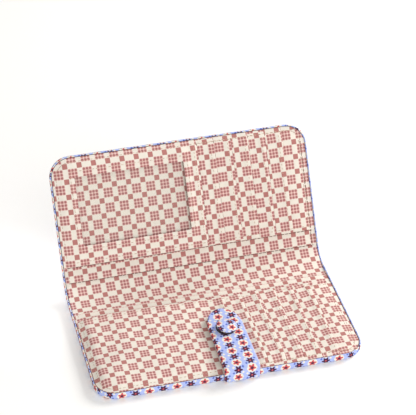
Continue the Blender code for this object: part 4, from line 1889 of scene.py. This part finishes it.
@dataclass
class SnapCap:
    """The covered button: cloth drawn over a domed cap and gathered under it, on a dark plate; the plate and
    the cap's underside are near-black as painted shade for the gap under the cap.
    """

    sides: int = 72
    gathers: int = 22
    gather_depth: float = 0.03
    tilt: float = 0.08
    plate_tilt: float = 0.35
    roll: float = 0.6 * MM
    dome: float = 0.9 * MM
    post: float = 1.6 * MM
    gap: float = 0.35 * MM
    plate_share: float = 0.97
    plate_thick: float = 0.55 * MM
    plate_aside: float = 0.8 * MM
    print_shift: tuple[float, float] = (-3.0, 3.6)

    def profile(self, radius: float, top: float) -> list[tuple[float, float, float]]:
        """The dome and its rolled edge.

        Args:
            radius: the cap's radius.
            top: its highest point.

        Returns:
            Rings of radius, height and share of the gathers, from the middle down.
        """
        inner, low = radius - self.roll, top - self.dome - self.roll
        rings = [(share * inner, top - self.dome * share ** 2.2, 0.0) for share in np.linspace(0.04, 1, 12)]
        rings += [(inner + self.roll * math.cos(angle), low + self.roll * math.sin(angle),
                   float(smooth(np.array(0.5 - angle / math.pi))))
                  for angle in np.linspace(QUARTER, -QUARTER, 11)[1:]]
        return rings

    def build(self) -> None:
        """Makes the cap with its plate and post, from turned rings with small gathers."""
        low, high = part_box("tab_snap_cap")
        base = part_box("tab_flap_outer")[1].z + self.gap
        centre, radius, top = (low + high) / 2, (high.x - low.x) / 2, high.z
        profile = self.profile(radius, top)
        plate, wide = len(profile), radius * self.plate_share
        profile += [(wide, base + self.plate_thick, 0.0), (wide, base, 0.0), (self.post, base, 0.0),
                    (self.post, low.z, 0.0)]
        points, uv = [], []
        for ring, (ring_radius, z, gather) in enumerate(profile):
            # The plate is set off to the left, so that its dark edge shows as a crescent of painted shade.
            aside = self.plate_aside if plate <= ring < plate + 2 else 0.0
            tilt = self.tilt * (1.0 if ring < plate else self.plate_tilt)
            on_post = ring_radius <= self.post
            stretch = ring_radius + (0.0 if on_post else top - z)
            for angle in np.arange(self.sides) * 2 * math.pi / self.sides:
                out = ring_radius * (1 - self.gather_depth * gather * math.cos(self.gathers * angle))
                x, y = out * math.cos(angle), out * math.sin(angle)
                lift = 0.0 if on_post else tilt * (radius - x)
                points.append((centre.x + x - aside, centre.y + y, z + lift))
                uv.append((stretch * math.cos(angle) / MM, stretch * math.sin(angle) / MM))
        number = np.arange(len(points)).reshape(-1, self.sides)
        beside = np.roll(number, -1, axis=1)
        walls = np.stack([number[:-1], number[1:], beside[1:], beside[:-1]], axis=2).reshape(-1, 4)
        made = mesh_object("tab_snap_cap_cloth", np.array(points), [*walls, number[0], number[-1][::-1]],
                           np.array(uv) + self.print_shift, PRINT, 80)
        # The faces under the cap's roll and the plate take the near-black finish: painted shade for the gap
        # under the cap.
        made.data.materials.append(SHADE_PLATE.material())
        for face in made.data.polygons:
            face.material_index = int(face.index // self.sides >= plate - 1 and face.index != len(walls))
        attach(made, "tab_flap")
        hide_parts("tab_snap_cap")
        LOG.info("%s: %d faces", made.name, len(made.data.polygons))


# Carried-over nodes, and the studio

def dress_nodes() -> None:
    """Gives the frame's own metal and board nodes their finish."""
    finishes = {"lower_board": BOARD, "upper_board": BOARD, "upper_snap_stud": BRASS,
                "upper_snap_post": BRASS, "tab_snap_socket": BRASS, "tab_flap_interlining": BATTING}
    for name, finish in finishes.items():
        node = frame["nodes"][name]
        node.data.materials.clear()
        node.data.materials.append(finish.material())
        for face in node.data.polygons:
            face.material_index = 0


def aim(name: str, data: bpy.types.ID, place: Spot, target: Spot) -> Piece:
    """Places a camera or a lamp and points it.

    Args:
        name: its name.
        data: the camera or the lamp.
        place: where it stands.
        target: what it points at.

    Returns:
        Its object.
    """
    made = bpy.data.objects.new(name, data)
    made.location = place
    made.rotation_mode = "QUATERNION"
    made.rotation_quaternion = (Vector(target) - Vector(place)).to_track_quat("-Z", "Y")
    bpy.context.scene.collection.objects.link(made)
    return made


@dataclass(frozen=True)
class Lamp:
    """A square soft lamp, or a snooted one where it has a spread in degrees."""

    name: str
    place: Spot
    size: float
    watts: float
    tint: str = "#FFFFFF"
    target: Spot = (0.0, 30 * MM, 30 * MM)
    spread: float = 0.0

    def build(self) -> None:
        """Makes the lamp."""
        data = bpy.data.lights.new(self.name, "SPOT" if self.spread else "AREA")
        if self.spread:
            data.spot_size = math.radians(self.spread)
            data.spot_blend = 1.0
            data.shadow_soft_size = self.size
        else:
            data.shape = "SQUARE"
            data.size = self.size
        data.energy = self.watts
        data.color = linear(self.tint)[:3]
        aim(self.name, data, self.place, self.target)


@dataclass
class Studio:
    """A pale floor, the camera at the photograph's angle, and soft light: a key from the right,
    a fill from the front, and a snoot that lifts the floor's shade beside the spine."""

    azimuth: float = -14.5
    elevation: float = 36.77
    distance: float = 1.356
    lens: float = 165.3
    sensor: float = 36.0
    clip: tuple[float, float] = (0.05, 30.0)
    target: Spot = (10.6 * MM, 65.2 * MM, 64.6 * MM)
    floor_size: float = 3.0
    floor_level: float = -0.05 * MM
    floor_tone: str = "#F7F7F6"
    floor_glow: float = 0.06
    sky_tone: str = "#FFFEFC"
    sky_level: float = 0.5
    lamps: tuple[Lamp, ...] = (
        Lamp("key", (0.92, 0.36, 0.6), 0.6, 12.4, "#FFFCF8"),
        Lamp("fill", (-0.05, -1.3, 0.6), 1.5, 15.0, "#FFFDFA"),
        Lamp("snoot", (-0.5, 0.25, 0.5), 0.02, 6.5, target=(-0.14, 0.085, 0.0), spread=14.0))

    def camera(self) -> None:
        """Places the camera."""
        turn, lift = math.radians(self.azimuth), math.radians(self.elevation)
        back = Vector((math.sin(turn) * math.cos(lift), -math.cos(turn) * math.cos(lift), math.sin(lift)))
        data = bpy.data.cameras.new("camera")
        data.lens = self.lens
        data.sensor_width = self.sensor
        data.sensor_fit = "HORIZONTAL"
        data.clip_start, data.clip_end = self.clip
        place = Vector(self.target) + back * self.distance
        bpy.context.scene.camera = aim("camera", data, place, self.target)

    def floor(self) -> None:
        """Lays the floor, which keeps the wallet's shadow and shows white to the camera."""
        points = [(x * self.floor_size, y * self.floor_size, self.floor_level)
                  for x, y in ((-1, -1), (1, -1), (1, 1), (-1, 1))]
        mesh = bpy.data.meshes.new("floor")
        mesh.from_pydata(points, [], [(0, 1, 2, 3)])
        skin = bpy.data.materials.new("white_sweep")
        skin.use_nodes = True
        tree = skin.node_tree
        tree.nodes.clear()
        matt = add(tree, "ShaderNodeBsdfDiffuse", {0: linear(self.floor_tone)})
        glow = add(tree, "ShaderNodeEmission", {0: linear("#FFFFFF"), 1: self.floor_glow})
        seen = add(tree, "ShaderNodeLightPath")
        lit = add(tree, "ShaderNodeAddShader", (matt, glow))
        both = add(tree, "ShaderNodeMixShader", (seen, matt, lit))
        add(tree, "ShaderNodeOutputMaterial", (both,), out=None)
        mesh.materials.append(skin)
        made = bpy.data.objects.new("floor", mesh)
        bpy.context.scene.collection.objects.link(made)

    def world(self) -> None:
        """White all round; a soft grey level lights the wallet, and the camera sees plain white."""
        world = bpy.data.worlds.new("studio")
        world.use_nodes = True
        tree = world.node_tree
        tree.nodes.clear()
        seen = add(tree, "ShaderNodeLightPath")
        either = seen
        for ray in ("Is Glossy Ray", "Is Transmission Ray"):
            either = add(tree, MATH, (either, seen.node.outputs[ray]), operation="MAXIMUM")
        soft = add(tree, "ShaderNodeBackground", {0: linear(self.sky_tone), 1: self.sky_level})
        white = add(tree, "ShaderNodeBackground", {0: linear("#FFFFFF"), 1: 1.0})
        both = add(tree, "ShaderNodeMixShader", (either, soft, white))
        add(tree, "ShaderNodeOutputWorld", (both,), out=None)
        bpy.context.scene.world = world

    def build(self) -> None:
        """Sets the studio up."""
        bpy.context.scene.view_settings.view_transform = "Standard"
        self.camera()
        self.floor()
        self.world()
        for lamp in self.lamps:
            lamp.build()


def main() -> None:
    """Builds the wallet and its studio in order."""
    logging.basicConfig(level=logging.INFO, format="%(message)s")
    for part in (Studio(), Cover(), Padding(), Inside(), Tab(), SnapCap()):
        part.build()
    dress_nodes()


if __name__ == "__main__":
    main()
